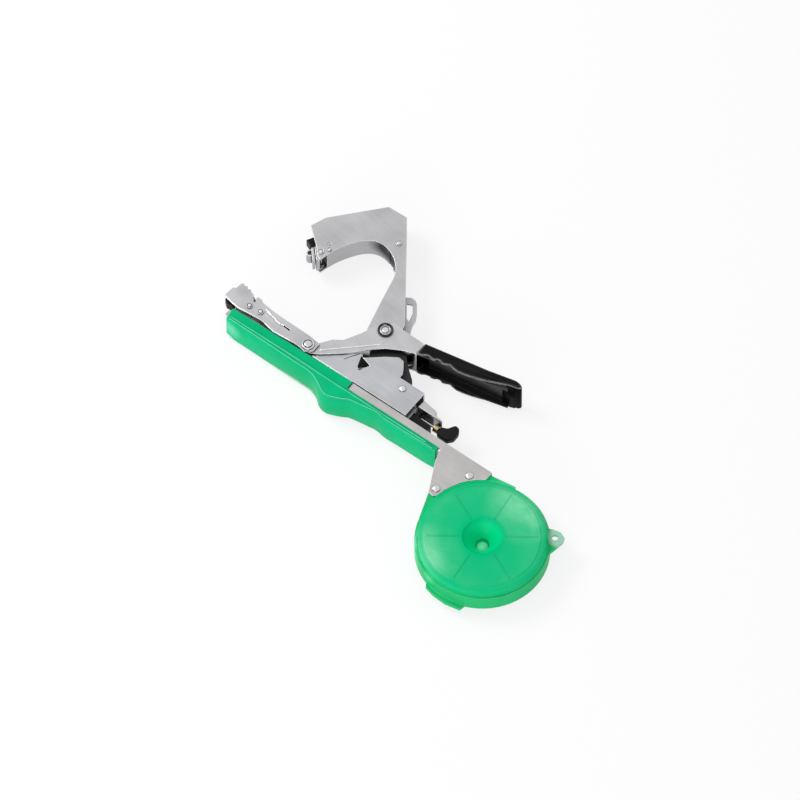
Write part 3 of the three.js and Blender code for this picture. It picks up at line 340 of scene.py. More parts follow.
# a paler copy of the sheet steel: painted highlight for the thin lines along sheet edges and creases
highlightSteel = metal("edgeHighlightSheet", tint(226, 226, 228), tint(244, 244, 245), (0.3, 0.4), 2200, 0.5, bump=0.05,
                  reach=0.3, deep=0.5)
wireSteel = metal("springWire", tint(180, 180, 182), tint(212, 212, 214), (0.2, 0.34), 1500, 0.8, bump=0.05)
# near black steel for the magazine spring and the link's collar and ring; on the arm's limb its black is painted shade
# between the plates
darkSteel = metal("blackenedSteel", tint(10, 10, 11), tint(20, 20, 21), (0.4, 0.55), 1800, 0.2, metallic=0.3,
                  edge=tint(90, 90, 92), edgeShare=0.3)
brassMetal = metal("brass", tint(160, 144, 106), tint(196, 180, 142), (0.22, 0.36), 1600, 0.4,
                   edge=tint(230, 214, 170))
blackPlastic = plastic("blackMoulding", tint(3, 3, 4), tint(9, 9, 10), (0.34, 0.46), edge=tint(110, 110, 112),
                       edgeShare=0.6, IOR=1.48, Specular_IOR_Level=0.2)
# the grip's near white edges are painted highlight, and its crevices go black in painted shade
gripBlack = plastic("gripVinyl", tint(12, 12, 13), tint(26, 26, 27), (0.4, 0.52), edge=tint(232, 232, 233),
                    edgeShare=0.85, bump=0.2, fine=1500.0, span=1.2, gain=10.0, deep=(9.0, 1.0, tint(0, 0, 0)),
                    IOR=1.48, **softSheen)
# a darker copy of the grip's vinyl: painted shade inside the grip
gripInsideShaded = plastic("gripInsideShaded", tint(2, 2, 3), tint(7, 7, 8), (0.4, 0.5), IOR=1.48, **softSheen)
# the handle's pale green edges are painted highlight, and its crevices go darker in painted shade
greenGrip = plastic("greenHandle", tint(2, 170, 110), tint(10, 188, 128), (0.3, 0.42), edge=tint(130, 232, 190),
                    edgeShare=0.85, span=0.8, deep=(1.6, 0.75, tint(0, 60, 36)), IOR=1.49, **softSheen)
# a paler green: painted highlight for the beads on the handle
beadHighlightGreen = plastic("paleBeadHighlight", tint(88, 220, 166), tint(122, 230, 186), (0.3, 0.4), IOR=1.49, **softSheen)
# painted light: the hub's skin glows
glowingSkinGreen = plastic("hubSkin", tint(96, 206, 156), tint(150, 226, 190), (0.3, 0.4),
                    Emission_Color=tint(70, 196, 140), Emission_Strength=0.45, **softSheen)
tapeFilm = plastic("woundTape", tint(150, 214, 178), tint(196, 234, 210), (0.3, 0.45), bump=0.05)


def paintOver(tree, shader, mask, colour):  # laid over the colour that the finish has so far
    below = shader.inputs["Base Color"].links[0].from_socket
    tree.links.new(mixColour(tree, mask, below, colour), shader.inputs["Base Color"])


def blacken(material, start, fade):  # black and no longer metal from a place along the tool onwards: painted shade
    tree, shader = shaderOf(material)
    where = tree.nodes.new("ShaderNodeTexCoord")
    axes = tree.nodes.new("ShaderNodeSeparateXYZ")
    tree.links.new(where.outputs["Object"], axes.inputs[0])
    mask = remap(tree, axes.outputs[0], 0.0, 1.0, start, start + fade)
    paintOver(tree, shader, mask, tint(10, 10, 11))
    tree.links.new(mathNode(tree, "SUBTRACT", 1.0, mask), shader.inputs["Metallic"])


# a colour laid over a finish near a point, on walls or on upper faces
def paintNear(material, middle, inner, outer, faces, depth, colour):
    tree, shader = shaderOf(material)
    where = tree.nodes.new("ShaderNodeTexCoord")
    surface = tree.nodes.new("ShaderNodeNewGeometry")
    axes = tree.nodes.new("ShaderNodeSeparateXYZ")
    tree.links.new(surface.outputs["Normal"], axes.inputs[0])
    if faces == "walls":
        facing = remap(tree, mathNode(tree, "ABSOLUTE", axes.outputs[2]), 1.0, 0.0, 0.3, 0.6)
    else:
        facing = remap(tree, axes.outputs[2], 0.0, 1.0, 0.3, 0.6)
    away = distanceFrom(tree, where.outputs["Object"], middle)
    mask = remap(tree, away, depth, 0.0, inner * mm, outer * mm)
    paintOver(tree, shader, mathNode(tree, "MULTIPLY", mask, facing), colour)


blacken(leverSteel, place(57.5, 0).x, 0.4 * mm)  # painted shade on the lever's steel inside the grip

# colours laid near points, mostly painted shade and one painted highlight: finish, middle, full within and gone beyond
# in millimetres, walls or upper faces, how strong, colour
# painted shade on the far sheets' inner faces seen through the flap's opening in the side frame
flapOpeningShade = (place(28, 19, -9.5), 7, 9.5, "upper", 0.97, deepShadow)
paintedShadeAndLight = [
    (armSteel, place(-6, 86.5, 4), 4, 12, "walls", 0.98, deepShadow),  # painted shade in the hook's throat
    (armSteel, place(2, 84, 2), 5, 12, "walls", 0.9, deepShadow),
    (armSteel, *flapOpeningShade), (leverSteel, *flapOpeningShade), (plateSteel, *flapOpeningShade),
    (jawSteel, place(-55.5, 7.0, 11.9), 2, 6.5, "upper", 0.22, tint(120, 108, 92)),  # beside the teeth, a little darker and warmer
    # painted shade: the black grip's walls go black
    (gripBlack, place(90, 45, 0), 80, 90, "walls", 0.95, tint(0, 0, 0)),
    (greenGrip, place(-49, -14, 0), 1.5, 9, "walls", 0.55, tint(130, 228, 194)),  # painted highlight on the handle's front end
]
for facts in paintedShadeAndLight:
    paintNear(*facts)

# the case: clear green moulding, paler where the light comes through and deeper over the wound tape
caseMoulding = {
    "radius": 42, "leastLight": 0.12, "clouds": 80.0, "cloudSpan": (0.45, 1.25), "funnel": (10, 13),
    "creviceGlow": (0.0, 2.4, 1.05, 1), "funnelGlow": (0.0, 1.2, 0.42, 1), "glow": 0.14,
    "edgeRounding": {"Radius": 0.8 * mm, "Gain": 8.0, "Breakup": 300.0}, "edgeShare": 0.45,
}


def levelRamp(tree, value, stops):  # a grey level for each share of the way
    ramp = tree.nodes.new("ShaderNodeValToRGB")
    feed(tree, ramp.inputs[0], value)
    marks = ramp.color_ramp.elements
    marks.remove(marks[1])
    marks[0].position, marks[0].color = stops[0][0], (stops[0][1],) * 3 + (1,)
    for at, level in stops[1:]:
        marks.new(at).color = (level, level, level, 1)
    return ramp.outputs[0]


def makeCase(name, deep, pale, bands, edge, patches, spots=()):
    facts = caseMoulding
    material = plastic(name, deep, pale, (0.3, 0.42), IOR=1.49, **softSheen)
    tree, shader = shaderOf(material)
    where = tree.nodes.new("ShaderNodeTexCoord")
    flat = tree.nodes.new("ShaderNodeMapping")  # seen from above, from the lid's middle
    centre = (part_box("case_lid")[0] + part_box("case_lid")[1]) / 2
    flat.inputs["Location"].default_value = (-centre.x, -centre.y, 0)
    flat.inputs["Scale"].default_value = (1, 1, 0)
    tree.links.new(where.outputs["Object"], flat.inputs["Vector"])
    fromMiddle = distanceFrom(tree, flat.outputs[0], (0, 0, 0))
    lit = facts["leastLight"]
    for (x, y), inner, outer, weight in patches:
        spot = place(x, y)
        away = distanceFrom(tree, flat.outputs[0], (spot.x - centre.x, spot.y - centre.y, 0))
        lit = mathNode(tree, "MAXIMUM", remap(tree, away, weight, 0.0, inner * mm, outer * mm), lit)
    cloud = useGroup(tree, mottle, Broad=facts["clouds"])
    patchy = remap(tree, cloud.outputs["Tone"], *facts["cloudSpan"])
    ringed = levelRamp(tree, remap(tree, fromMiddle, 0.0, 1.0, 0.0, facts["radius"] * mm), bands)
    mask = mathNode(tree, "MULTIPLY", mathNode(tree, "MULTIPLY", ringed, lit), patchy, clamp=True)
    body = mixColour(tree, mask, deep, pale)
    for (x, y, z), inner, outer, weight, colour in spots:
        away = distanceFrom(tree, where.outputs["Object"], place(x, y, z))
        body = mixColour(tree, remap(tree, away, weight, 0.0, inner * mm, outer * mm), body, colour)
    edgeRounding = useGroup(tree, edgeWearAndHighlight, **facts["edgeRounding"])
    tree.links.new(tintEdges(tree, edgeRounding, body, edge, facts["edgeShare"]), shader.inputs["Base Color"])
    # painted light: the case glows a little, more in its crevices and in the hub's funnel
    glow = useGroup(tree, crevice, Reach=2.5 * mm, Open=0.7)
    clear = mixColour(tree, glow.outputs["Mask"], body, facts["creviceGlow"])
    funnel = remap(tree, fromMiddle, 1.0, 0.0, facts["funnel"][0] * mm, facts["funnel"][1] * mm)
    tree.links.new(mixColour(tree, funnel, clear, facts["funnelGlow"]), shader.inputs["Emission Color"])
    shader.inputs["Emission Strength"].default_value = facts["glow"]
    return material


# bands: share of the radius and how pale; patches: middle, full within, gone beyond and how strong
lidBands = [(0.0, 0.0), (0.3, 0.0), (0.38, 0.3), (0.6, 0.5), (0.76, 0.95), (0.86, 1.0), (0.91, 0.4), (1.0, 0.6)]
baseBands = [(0.0, 0.0), (0.88, 0.0), (0.94, 0.8), (1.0, 1.0)]
lidPatches = [((176, -15), 7, 28, 1.0), ((149, -72), 3, 26, 0.8)]
basePatches = [((176, -10), 9, 32, 1.0), ((137, -68), 3, 16, 0.9)]
baseSpots = [((204, -13.5, 2.4), 6, 8.5, 0.85, tint(160, 198, 180)),  # the ear
             ((155.9, -85.8, 2), 1, 6, 0.4, tint(110, 225, 175))]  # beside the foot flange
lidGreen = makeCase("lidGreen", tint(0, 181, 118), tint(124, 212, 166), lidBands, tint(16, 158, 104), lidPatches)
caseGreen = makeCase("caseGreen", tint(0, 170, 96), tint(110, 214, 164), baseBands, tint(130, 230, 186),
                     basePatches, baseSpots)
print("finishes ready")


# finer copies of the frame's solids
copying = {
    "weld": 0.003, "flatter": math.radians(0.6), "sharp": math.radians(32),
    "clamped": {"case_base", "handle_grip", "arm_limb", "magazine_channel"},  # where bevels would meet
    "fullyRound": 1.0,  # a wider bevel than this, in millimetres, gets more segments
}


def fineCopy(node, material, width):
    source = nodes[node]
    mesh = source.data.copy()
    mesh.materials.clear()
    work = bmesh.new()
    work.from_mesh(mesh)
    bmesh.ops.remove_doubles(work, verts=work.verts, dist=copying["weld"] * mm)
    bmesh.ops.dissolve_limit(work, angle_limit=copying["flatter"], verts=work.verts, edges=work.edges)
    for face in work.faces:
        face.smooth = True
    for edge in work.edges:
        edge.smooth = edge.calc_face_angle(0.0) < copying["sharp"]
    work.to_mesh(mesh)
    work.free()
    piece = bpy.data.objects.new(node + "Fine", mesh)
    scene.collection.objects.link(piece)
    bevel = piece.modifiers.new("roundedEdges", "BEVEL")
    bevel.width = width * mm
    bevel.segments = 5 if width > copying["fullyRound"] else 2
    bevel.limit_method = "ANGLE"
    bevel.angle_limit = copying["sharp"]
    bevel.use_clamp_overlap = node in copying["clamped"]
    bevel.harden_normals = True
    made = bpy.data.meshes.new_from_object(piece.evaluated_get(bpy.context.evaluated_depsgraph_get()))
    piece.modifiers.clear()
    piece.data = made
    made.materials.clear()
    made.materials.append(material)
    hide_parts(node)
    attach(piece, source["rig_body"])


finePieces = {  # finish and width of the rounded edges
    "handle_rail": (steel, 0.15), "side_frame": (plateSteel, 0.15), "handle_grip": (greenGrip, 0.25),
    "tape_bracket": (warmSteel, 0.15), "driver_blade": (rivetSteel, 0.1), "driver_holder": (blackPlastic, 0.25),
    "magazine_spring": (darkSteel, 0.1), "case_base": (caseGreen, 0.3), "case_lid": (lidGreen, 0.12),
    "tape_core": (blackPlastic, 0.2), "tape_roll": (tapeFilm, 0.2), "jaw_head": (jawSteel, 0.15),
    "jaw_face": (steel, 0.1), "tape_guide": (blackPlastic, 0.25), "magazine_channel": (steel, 0.12),
    "staple_track": (steel, 0.12), "magazine_cover": (warmSteel, 0.15), "end_block": (blackPlastic, 0.25),
    "pusher_block": (blackPlastic, 0.2), "pusher_rod": (rivetSteel, 0.1), "pusher_ferrule": (brassMetal, 0.25),
    "pusher_hook": (blackPlastic, 1.3), "lever_frame": (leverSteel, 0.15), "lever_grip": (gripBlack, 0.3),
    "link_collar": (darkSteel, 0.15), "link_ring": (darkSteel, 0.1), "spring_tab": (tabSteel, 0.3),
    "arm_channel": (armSteel, 0.15), "arm_limb": (darkSteel, 0.15), "anvil": (steel, 0.3),
    "tape_cutter": (steel, 0.1), "tape_gripper": (blackPlastic, 0.4), "gripper_pin": (steel, 0.1),
}
for node, (finish, width) in finePieces.items():
    fineCopy(node, finish, width)

low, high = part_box("magazine_spring")
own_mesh(bpy.data.objects["magazine_springFine"])
print("finer pieces:", len(finePieces))

# solids with straight sides along Z: the grip's inner heel, darker in painted shade, and the clear skin that closes the
# hub, glowing with painted light
hub = {"x": 167.6, "y": -43.9, "radius": 3.4, "corners": 32}
hubTurns = [2 * math.pi * k / hub["corners"] for k in range(hub["corners"])]
blocks = {  # body, slot, finish, lower and upper face, width of the rounded edges, outline
    "gripHeel": ("lever", "black_plastic", gripInsideShaded, (-12.0, 11.6), 0.4,
                 [(112.5, 50.0), (117.5, 50.2), (120.9, 51.4), (121.3, 52.6), (116.6, 52.0), (112.5, 51.2)]),
    "hubSkin": ("frame", "green_case", glowingSkinGreen, (-4.4, -3.6), 0.15,
                [(hub["x"] + hub["radius"] * math.cos(turn), hub["y"] + hub["radius"] * math.sin(turn))
                 for turn in hubTurns]),
}


def makeBlock(name, body, slot, material, span, width, outline):
    work = bmesh.new()
    rings = [[work.verts.new(place(x, y, z)) for x, y in outline] for z in span]
    work.faces.new(rings[0][::-1])
    work.faces.new(rings[1])
    for k in range(len(outline)):
        after = (k + 1) % len(outline)
        work.faces.new((rings[0][k], rings[0][after], rings[1][after], rings[1][k]))
    rims = [edge for edge in work.edges if edge.calc_face_angle(0.0) > 0.6]
    bmesh.ops.bevel(work, geom=rims, offset=width * mm, segments=3, profile=0.5, affect="EDGES", clamp_overlap=True)
    bmesh.ops.recalc_face_normals(work, faces=work.faces)
    for face in work.faces:
        face.smooth = True
    mesh = bpy.data.meshes.new(name)
    work.to_mesh(mesh)
    work.free()
    mesh.materials.append(material)
    piece = bpy.data.objects.new(name, mesh)
    scene.collection.objects.link(piece)
    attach(piece, body)


for name, facts in blocks.items():
    makeBlock(name, *facts)
print("blocks:", len(blocks))


# trees of nodes for what repeats or follows a path
def newShape(name, inputs):
    tree = bpy.data.node_groups.new(name, "GeometryNodeTree")
    tree.interface.new_socket("Geometry", in_out="INPUT", socket_type="NodeSocketGeometry")
    for label, kind, value in inputs:
        socket = tree.interface.new_socket(label, in_out="INPUT", socket_type=kind)
        if value is not None:
            socket.default_value = value
    tree.interface.new_socket("Finish", in_out="INPUT", socket_type="NodeSocketMaterial")
    tree.interface.new_socket("Geometry", in_out="OUTPUT", socket_type="NodeSocketGeometry")
    return tree, tree.nodes.new("NodeGroupInput"), tree.nodes.new("NodeGroupOutput")


def closeShape(tree, inside, out, geometry):
    smooth = tree.nodes.new("GeometryNodeSetShadeSmooth")
    real = tree.nodes.new("GeometryNodeRealizeInstances")
    paint = tree.nodes.new("GeometryNodeSetMaterial")
    tree.links.new(geometry, real.inputs[0])
    tree.links.new(real.outputs[0], smooth.inputs[0])
    tree.links.new(smooth.outputs[0], paint.inputs[0])
    tree.links.new(inside.outputs["Finish"], paint.inputs["Material"])
    tree.links.new(paint.outputs[0], out.inputs[0])


def makeWireTree():
    tree, inside, out = newShape(
        "wireAlongLine", [("Thick", "NodeSocketFloat", 0.0005), ("Sides", "NodeSocketInt", 10)])
    line = tree.nodes.new("GeometryNodeMeshToCurve")
    tube = tree.nodes.new("GeometryNodeCurveToMesh")
    rim = tree.nodes.new("GeometryNodeCurvePrimitiveCircle")
    tube.inputs["Fill Caps"].default_value = True
    tree.links.new(inside.outputs[0], line.inputs[0])
    tree.links.new(inside.outputs["Sides"], rim.inputs["Resolution"])
    tree.links.new(mathNode(tree, "MULTIPLY", inside.outputs["Thick"], 0.5), rim.inputs["Radius"])
    tree.links.new(line.outputs[0], tube.inputs["Curve"])
    tree.links.new(rim.outputs[0], tube.inputs["Profile Curve"])
    closeShape(tree, inside, out, tube.outputs[0])
    return tree


def pointRow(tree, label):  # what each point of the mesh carries under this name
    node = tree.nodes.new("GeometryNodeInputNamedAttribute")
    node.data_type = "FLOAT_VECTOR"
    node.inputs["Name"].default_value = label
    return node.outputs[0]


def profileCurve(tree, share, points):
    node = tree.nodes.new("ShaderNodeFloatCurve")
    line = node.mapping.curves[0]
    while len(line.points) < len(points):
        line.points.new(0.5, 0.5)
    for k, (at, value) in enumerate(points):
        line.points[k].location = (at, value)
    for spot in line.points:
        spot.handle_type = "VECTOR"
    node.mapping.update()
    tree.links.new(share, node.inputs["Value"])
    return node.outputs[0]


# turned heads: share of the way from the top to the rim, then radius or height as a share of the head's own
headRadius = [(0, 0), (0.2, 0.26), (0.4, 0.5), (0.46, 0.56), (0.54, 0.6), (0.6, 0.74), (0.66, 0.78), (0.8, 0.93),
              (0.86, 0.99), (0.92, 1.0), (1, 0)]
domeHeight = [(0, 1), (0.2, 0.97), (0.4, 0.87), (0.46, 0.83), (0.54, 0.8), (0.6, 0.67), (0.66, 0.62), (0.8, 0.36),
              (0.86, 0.14), (0.92, 0), (1, 0)]
ringHeight = [(0, 1), (0.2, 0.98), (0.4, 0.9), (0.46, 0.72), (0.54, 0.12), (0.6, 0.12), (0.66, 0.6), (0.8, 0.56),
              (0.86, 0.3), (0.92, 0), (1, 0)]


def makeRivetTree():
    tree, inside, out = newShape("turnedHeads", [("Around", "NodeSocketInt", 40)])
    sheet = tree.nodes.new("GeometryNodeMeshGrid")
    sheet.inputs["Size X"].default_value = 1.0
    sheet.inputs["Size Y"].default_value = 1.0
    sheet.inputs["Vertices Y"].default_value = 51
    tree.links.new(inside.outputs["Around"], sheet.inputs["Vertices X"])
    at = tree.nodes.new("GeometryNodeInputPosition")
    axes = tree.nodes.new("ShaderNodeSeparateXYZ")
    tree.links.new(at.outputs[0], axes.inputs[0])
    turn = mathNode(tree, "MULTIPLY", axes.outputs[0], 2 * math.pi)
    share = mathNode(tree, "ADD", axes.outputs[1], 0.5)
    radius = profileCurve(tree, share, headRadius)
    across = mathNode(tree, "MULTIPLY", mathNode(tree, "COSINE", turn), radius)
    along = mathNode(tree, "MULTIPLY", mathNode(tree, "SINE", turn), radius)
    shank = tree.nodes.new("GeometryNodeMeshCylinder")
    shank.inputs["Vertices"].default_value = 24
    shank.inputs["Radius"].default_value = 1.0
    shank.inputs["Depth"].default_value = 1.0
    sunk = tree.nodes.new("GeometryNodeTransform")
    sunk.inputs["Translation"].default_value = (0, 0, -0.49)  # its top just inside the head
    tree.links.new(shank.outputs[0], sunk.inputs[0])
    shapes = [("shankSize", sunk.outputs[0])]
    for size, heights in (("domeSize", domeHeight), ("ringSize", ringHeight)):
        moved = tree.nodes.new("ShaderNodeCombineXYZ")
        for socket, value in zip(moved.inputs, (across, along, profileCurve(tree, share, heights))):
            feed(tree, socket, value)
        head = tree.nodes.new("GeometryNodeSetPosition")
        tree.links.new(sheet.outputs[0], head.inputs["Geometry"])
        tree.links.new(moved.outputs[0], head.inputs["Position"])
        sewn = tree.nodes.new("GeometryNodeMergeByDistance")
        sewn.inputs["Distance"].default_value = 0.001
        tree.links.new(head.outputs[0], sewn.inputs[0])
        shapes.append((size, sewn.outputs[0]))
    both = tree.nodes.new("GeometryNodeJoinGeometry")
    for size, shape in shapes:  # a shape goes only to the points that give it a size
        copies = tree.nodes.new("GeometryNodeInstanceOnPoints")
        wanted = tree.nodes.new("FunctionNodeCompare")
        wanted.operation = "GREATER_THAN"
        wanted.data_type = "FLOAT"
        wide = tree.nodes.new("ShaderNodeSeparateXYZ")
        scale = pointRow(tree, size)
        tree.links.new(scale, wide.inputs[0])
        tree.links.new(wide.outputs[0], wanted.inputs["A"])
        wanted.inputs["B"].default_value = 0.0
        tree.links.new(inside.outputs[0], copies.inputs["Points"])
        tree.links.new(wanted.outputs[0], copies.inputs["Selection"])
        tree.links.new(shape, copies.inputs["Instance"])
        tree.links.new(pointRow(tree, "facing"), copies.inputs["Rotation"])
        tree.links.new(scale, copies.inputs["Scale"])
        tree.links.new(copies.outputs[0], both.inputs[0])
    closeShape(tree, inside, out, both.outputs[0])
    return tree


def makeRowTree():
    tree, inside, out = newShape(
        "rowOfStaples", [("Count", "NodeSocketInt", 10), ("Pitch", "NodeSocketFloat", 0.001)])
    line = tree.nodes.new("GeometryNodeMeshLine")
    step = tree.nodes.new("ShaderNodeCombineXYZ")
    tree.links.new(inside.outputs["Pitch"], step.inputs[0])
    tree.links.new(inside.outputs["Count"], line.inputs["Count"])
    tree.links.new(step.outputs[0], line.inputs["Offset"])
    copies = tree.nodes.new("GeometryNodeInstanceOnPoints")
    tree.links.new(line.outputs[0], copies.inputs["Points"])
    tree.links.new(inside.outputs[0], copies.inputs["Instance"])
    closeShape(tree, inside, out, copies.outputs[0])
    return tree


def grow(name, mesh, tree, material, smooth=40, **values):
    piece = bpy.data.objects.new(name, mesh)
    scene.collection.objects.link(piece)
    shape = piece.modifiers.new("shape", "NODES")
    shape.node_group = tree
    identifiers = {item.name: item.identifier for item in tree.interface.items_tree if item.in_out == "INPUT"}
    for label, value in values.items():
        shape[identifiers[label]] = value
    shape[identifiers["Finish"]] = material
    made = bpy.data.meshes.new_from_object(piece.evaluated_get(bpy.context.evaluated_depsgraph_get()))
    piece.modifiers.clear()
    piece.data = made
    work = bmesh.new()
    work.from_mesh(made)
    bmesh.ops.remove_doubles(work, verts=work.verts, dist=0.0005 * mm)
    bmesh.ops.recalc_face_normals(work, faces=work.faces)
    for edge in work.edges:
        edge.smooth = edge.calc_face_angle(0.0) < math.radians(smooth)
    work.to_mesh(made)
    work.free()
    made.materials.clear()
    made.materials.append(material)
    return piece


def lineMesh(name, points):
    mesh = bpy.data.meshes.new(name)
    mesh.from_pydata([tuple(point) for point in points], [(i, i + 1) for i in range(len(points) - 1)], [])
    return mesh


wireTree, rivetTree, rowTree = makeWireTree(), makeRivetTree(), makeRowTree()

# rivets, pins and screws: the radius of each shank, how high the heads stand and which heads are grooved
rivets = {
    "frame": {
        "nodes": ["lever_pin_near", "lever_pin_far", "arm_pin_near", "arm_pin_far", "case_rivet_1", "case_rivet_2"],
        "shank": {"lever": 2.1, "arm": 1.6, "case": 1.5}, "rise": 1.1, "grooved": {"lever"}},
    "magazine": {
        "nodes": ["head_rivet_near_1", "head_rivet_far_1", "head_rivet_near_2", "head_rivet_far_2"],
        "shank": {"head": 1.3}, "rise": 1.1, "grooved": {"head"}},
    "lever": {"nodes": ["link_pin"], "shank": {"link": 2.6}, "rise": 1.1, "grooved": {"link"}},
    "clincher": {
        "nodes": ["anchor_pin", "tip_screw_1", "tip_screw_2"],
        "shank": {"anchor": 1.4, "tip": 0.9}, "rise": 0.55, "grooved": {"anchor", "tip"}},
}


def headSides(node, kind):  # 1 for a head on the near side, -1 for the far side
    if "near" in node or kind == "link":  # a far head of the link pin would cut the squeezed arm
        return [1]
    return [-1] if "far" in node else [1, -1]


def makeRivets(body, facts):
    spots, rows = [], {"domeSize": [], "ringSize": [], "shankSize": [], "facing": []}
    for node in facts["nodes"]:
        low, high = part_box(node)
        centre = (low + high) / 2
        wide = (high.x - low.x) / 2
        kind = node.split("_")[0]
        grooved = kind in facts["grooved"]
        shank = facts["shank"][kind] * mm
        rise = facts["rise"] * mm
        sides = headSides(node, kind)
        deep = (high.z - low.z - rise * len(sides)) / len(sides)
        for side in sides:
            spots.append((centre.x, centre.y, high.z - rise if side > 0 else low.z + rise))
            rows["domeSize"].append((0, 0, 0) if grooved else (wide, wide, rise))
            rows["ringSize"].append((wide, wide, rise) if grooved else (0, 0, 0))
            rows["shankSize"].append((shank, shank, deep))
            rows["facing"].append((0.0 if side > 0 else math.pi, 0.0, 0.0))
    mesh = bpy.data.meshes.new(body + "Rivets")
    mesh.from_pydata(spots, [], [])
    for label, values in rows.items():
        layer = mesh.attributes.new(label, "FLOAT_VECTOR", "POINT")
        layer.data.foreach_set("vector", [value for row in values for value in row])
    piece = grow(body + "Rivets", mesh, rivetTree, rivetSteel, Around=41)
    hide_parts(*facts["nodes"])
    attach(piece, body)


for body, facts in rivets.items():
    makeRivets(body, facts)
print("rivets ready")


# springs wound from round wire: radius to the wire's middle, turns and thickness of the wire
springs = {
    "pusher_spring": {"mean": 1.6, "curls": 34, "wire": 0.5, "inset": 0.4},
    "arm_spring": {"mean": 2.0, "curls": 16, "wire": 0.8, "start": (18.9, 67.7), "end": (0.5, 92.3)},
}


def coilPath(start, end, mean, curls, steps=20):
    along = end - start
    long = along.length
    along = along.normalized()
    side = Vector((-along.y, along.x, 0))
    up = Vector((0, 0, 1))
    count = curls * steps
    points = []
    for i in range(count + 1):
        turn = 2 * math.pi * i / steps
        points.append(start + along * (long * i / count) + (side * math.cos(turn) + up * math.sin(turn)) * mean)
    return points


def makeSpring(node, start, end):
    facts = springs[node]
    path = coilPath(start, end, facts["mean"] * mm, facts["curls"])
    piece = grow(node + "Wire", lineMesh(node, path), wireTree, wireSteel, smooth=80, Thick=facts["wire"] * mm, Sides=8)
    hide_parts(node)
    return piece


low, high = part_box("pusher_spring")
middle = (low + high) / 2
inset = springs["pusher_spring"]["inset"] * mm
pusherWire = makeSpring("pusher_spring", Vector((low.x + inset, middle.y, middle.z)),
                        Vector((high.x - inset, middle.y, middle.z)))
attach(pusherWire, "pusher")
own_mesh(pusherWire)
armWire = makeSpring("arm_spring", place(*springs["arm_spring"]["start"]), place(*springs["arm_spring"]["end"]))
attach(armWire, "clincher")
print("springs ready")

# one staple, then the glued row of them
stapleRow = {"wire": 0.55, "pitch": 0.62}
low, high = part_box("staples")
wire, pitch = stapleRow["wire"] * mm, stapleRow["pitch"] * mm
front, crown, tips = low.x + wire / 2, low.y + wire / 2, high.y - wire / 2
farLeg, nearLeg = low.z + wire / 2, high.z - wire / 2
stapleLine = [(front, tips, farLeg), (front, crown, farLeg), (front, crown, nearLeg), (front, tips, nearLeg)]
oneStaple = grow("oneStaple", lineMesh("staple", stapleLine), wireTree, rivetSteel, Thick=wire, Sides=8)
count = int((high.x - low.x - wire) / pitch) + 1
staplePiece = grow("stapleStick", oneStaple.data.copy(), rowTree, rivetSteel, Count=count, Pitch=pitch)
bpy.data.objects.remove(oneStaple)
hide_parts("staples")
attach(staplePiece, "magazine")
print("staples:", count)

# fine beads along the green handle, on both faces, in a paler green: painted highlights on its straight step and on the
# rounding along its belly
beads = {
    "height": 10.98, "thick": 0.5,
    "straight": [(-49.9, -12.4), (-30, -12.1), (-1.4, -11.8), (8.5, -11.9), (21.4, -12.1), (30.1, -12.1),
                 (40.8, -12.0), (60, -12.0), (100, -11.9)],
    "belly": [(-50.5, -13.9), (-30, -13.9), (0.9, -14.4), (9.6, -14.3), (16.2, -15.5), (21.4, -18.0), (25.8, -20.6),
              (30, -21.7), (33.2, -20.9), (39.2, -18.4), (43.8, -15.9), (51, -14.6), (57.5, -13.6), (62.5, -13.0),
              (69.6, -13.8), (79.9, -13.8), (99.5, -13.4), (106.0, -13.2)],
}


def smoothLine(points, steps=6):  # a curve through the points
    out = []
    for i in range(len(points) - 1):
        before, here = points[max(i - 1, 0)], points[i]
        there, after = points[i + 1], points[min(i + 2, len(points) - 1)]
        for k in range(steps):
            t = k / steps
            out.append(0.5 * (2 * here + (there - before) * t + (2 * before - 5 * here + 4 * there - after) * t * t
                              + (3 * here - before - 3 * there + after) * t ** 3))
    return out + [points[-1]]


def makeBeads():
    lines, edges = [], []
    for side in (1, -1):
        for name in ("straight", "belly"):
            curve = smoothLine([place(x, y, side * beads["height"]) for x, y in beads[name]])
            edges += [(len(lines) + i, len(lines) + i + 1) for i in range(len(curve) - 1)]
            lines += curve
    mesh = bpy.data.meshes.new("beads")
    mesh.from_pydata([tuple(point) for point in lines], edges, [])
    piece = grow("handleBeads", mesh, wireTree, beadHighlightGreen, smooth=80, Thick=beads["thick"] * mm, Sides=8)
    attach(piece, "frame")


makeBeads()
print("beads ready")

# embossed lines, rolled edges and the bent guide wire of the pressed sheets, in a pale steel whose brightness is
# painted highlight
sheetLines = {  # body, the piece it lies on, thickness and line
    "leverCrease": ("lever", "lever_frame", 0.6, [(8.4, 2.3, 10.8), (35.1, 27.3, 10.8)]),
    "frameEdge": ("frame", "side_frame", 1.0, [(6.5, -3.9, 9.2), (37.5, -3.9, 9.2)]),
    "jawEdge": ("magazine", "jaw_head", 0.8,
                [(-61.6, -2.8, 11.45), (-54.7, -4.15, 11.45), (-50.5, -4.75, 11.45), (-42, -3.75, 11.45),
                 (-33.2, -3.15, 11.45), (-23.2, -5.3, 11.45), (-13.6, -4.55, 11.45), (-4.8, -3.85, 11.45)]),
    "guideEye": ("magazine", "jaw_head", 1.9, [(-33.4, 3.7, 12), (-30.7, 3, 12)]),
    "guideWire": ("magazine", "jaw_head", 0.8,
                  [(-35.8, 4.4, 12.1), (-33.4, 3.6, 12.1), (-30.6, 3, 12.1), (-27.7, 2.5, 12.1), (-25.1, 1.5, 12.1),
                   (-23, 1.3, 12.1), (-19.9, 1.8, 12.1)]),
    "guideBall": ("magazine", "jaw_head", 1.6, [(-23.7, 1.3, 12.1), (-22.5, 1.3, 12.1)]),
}
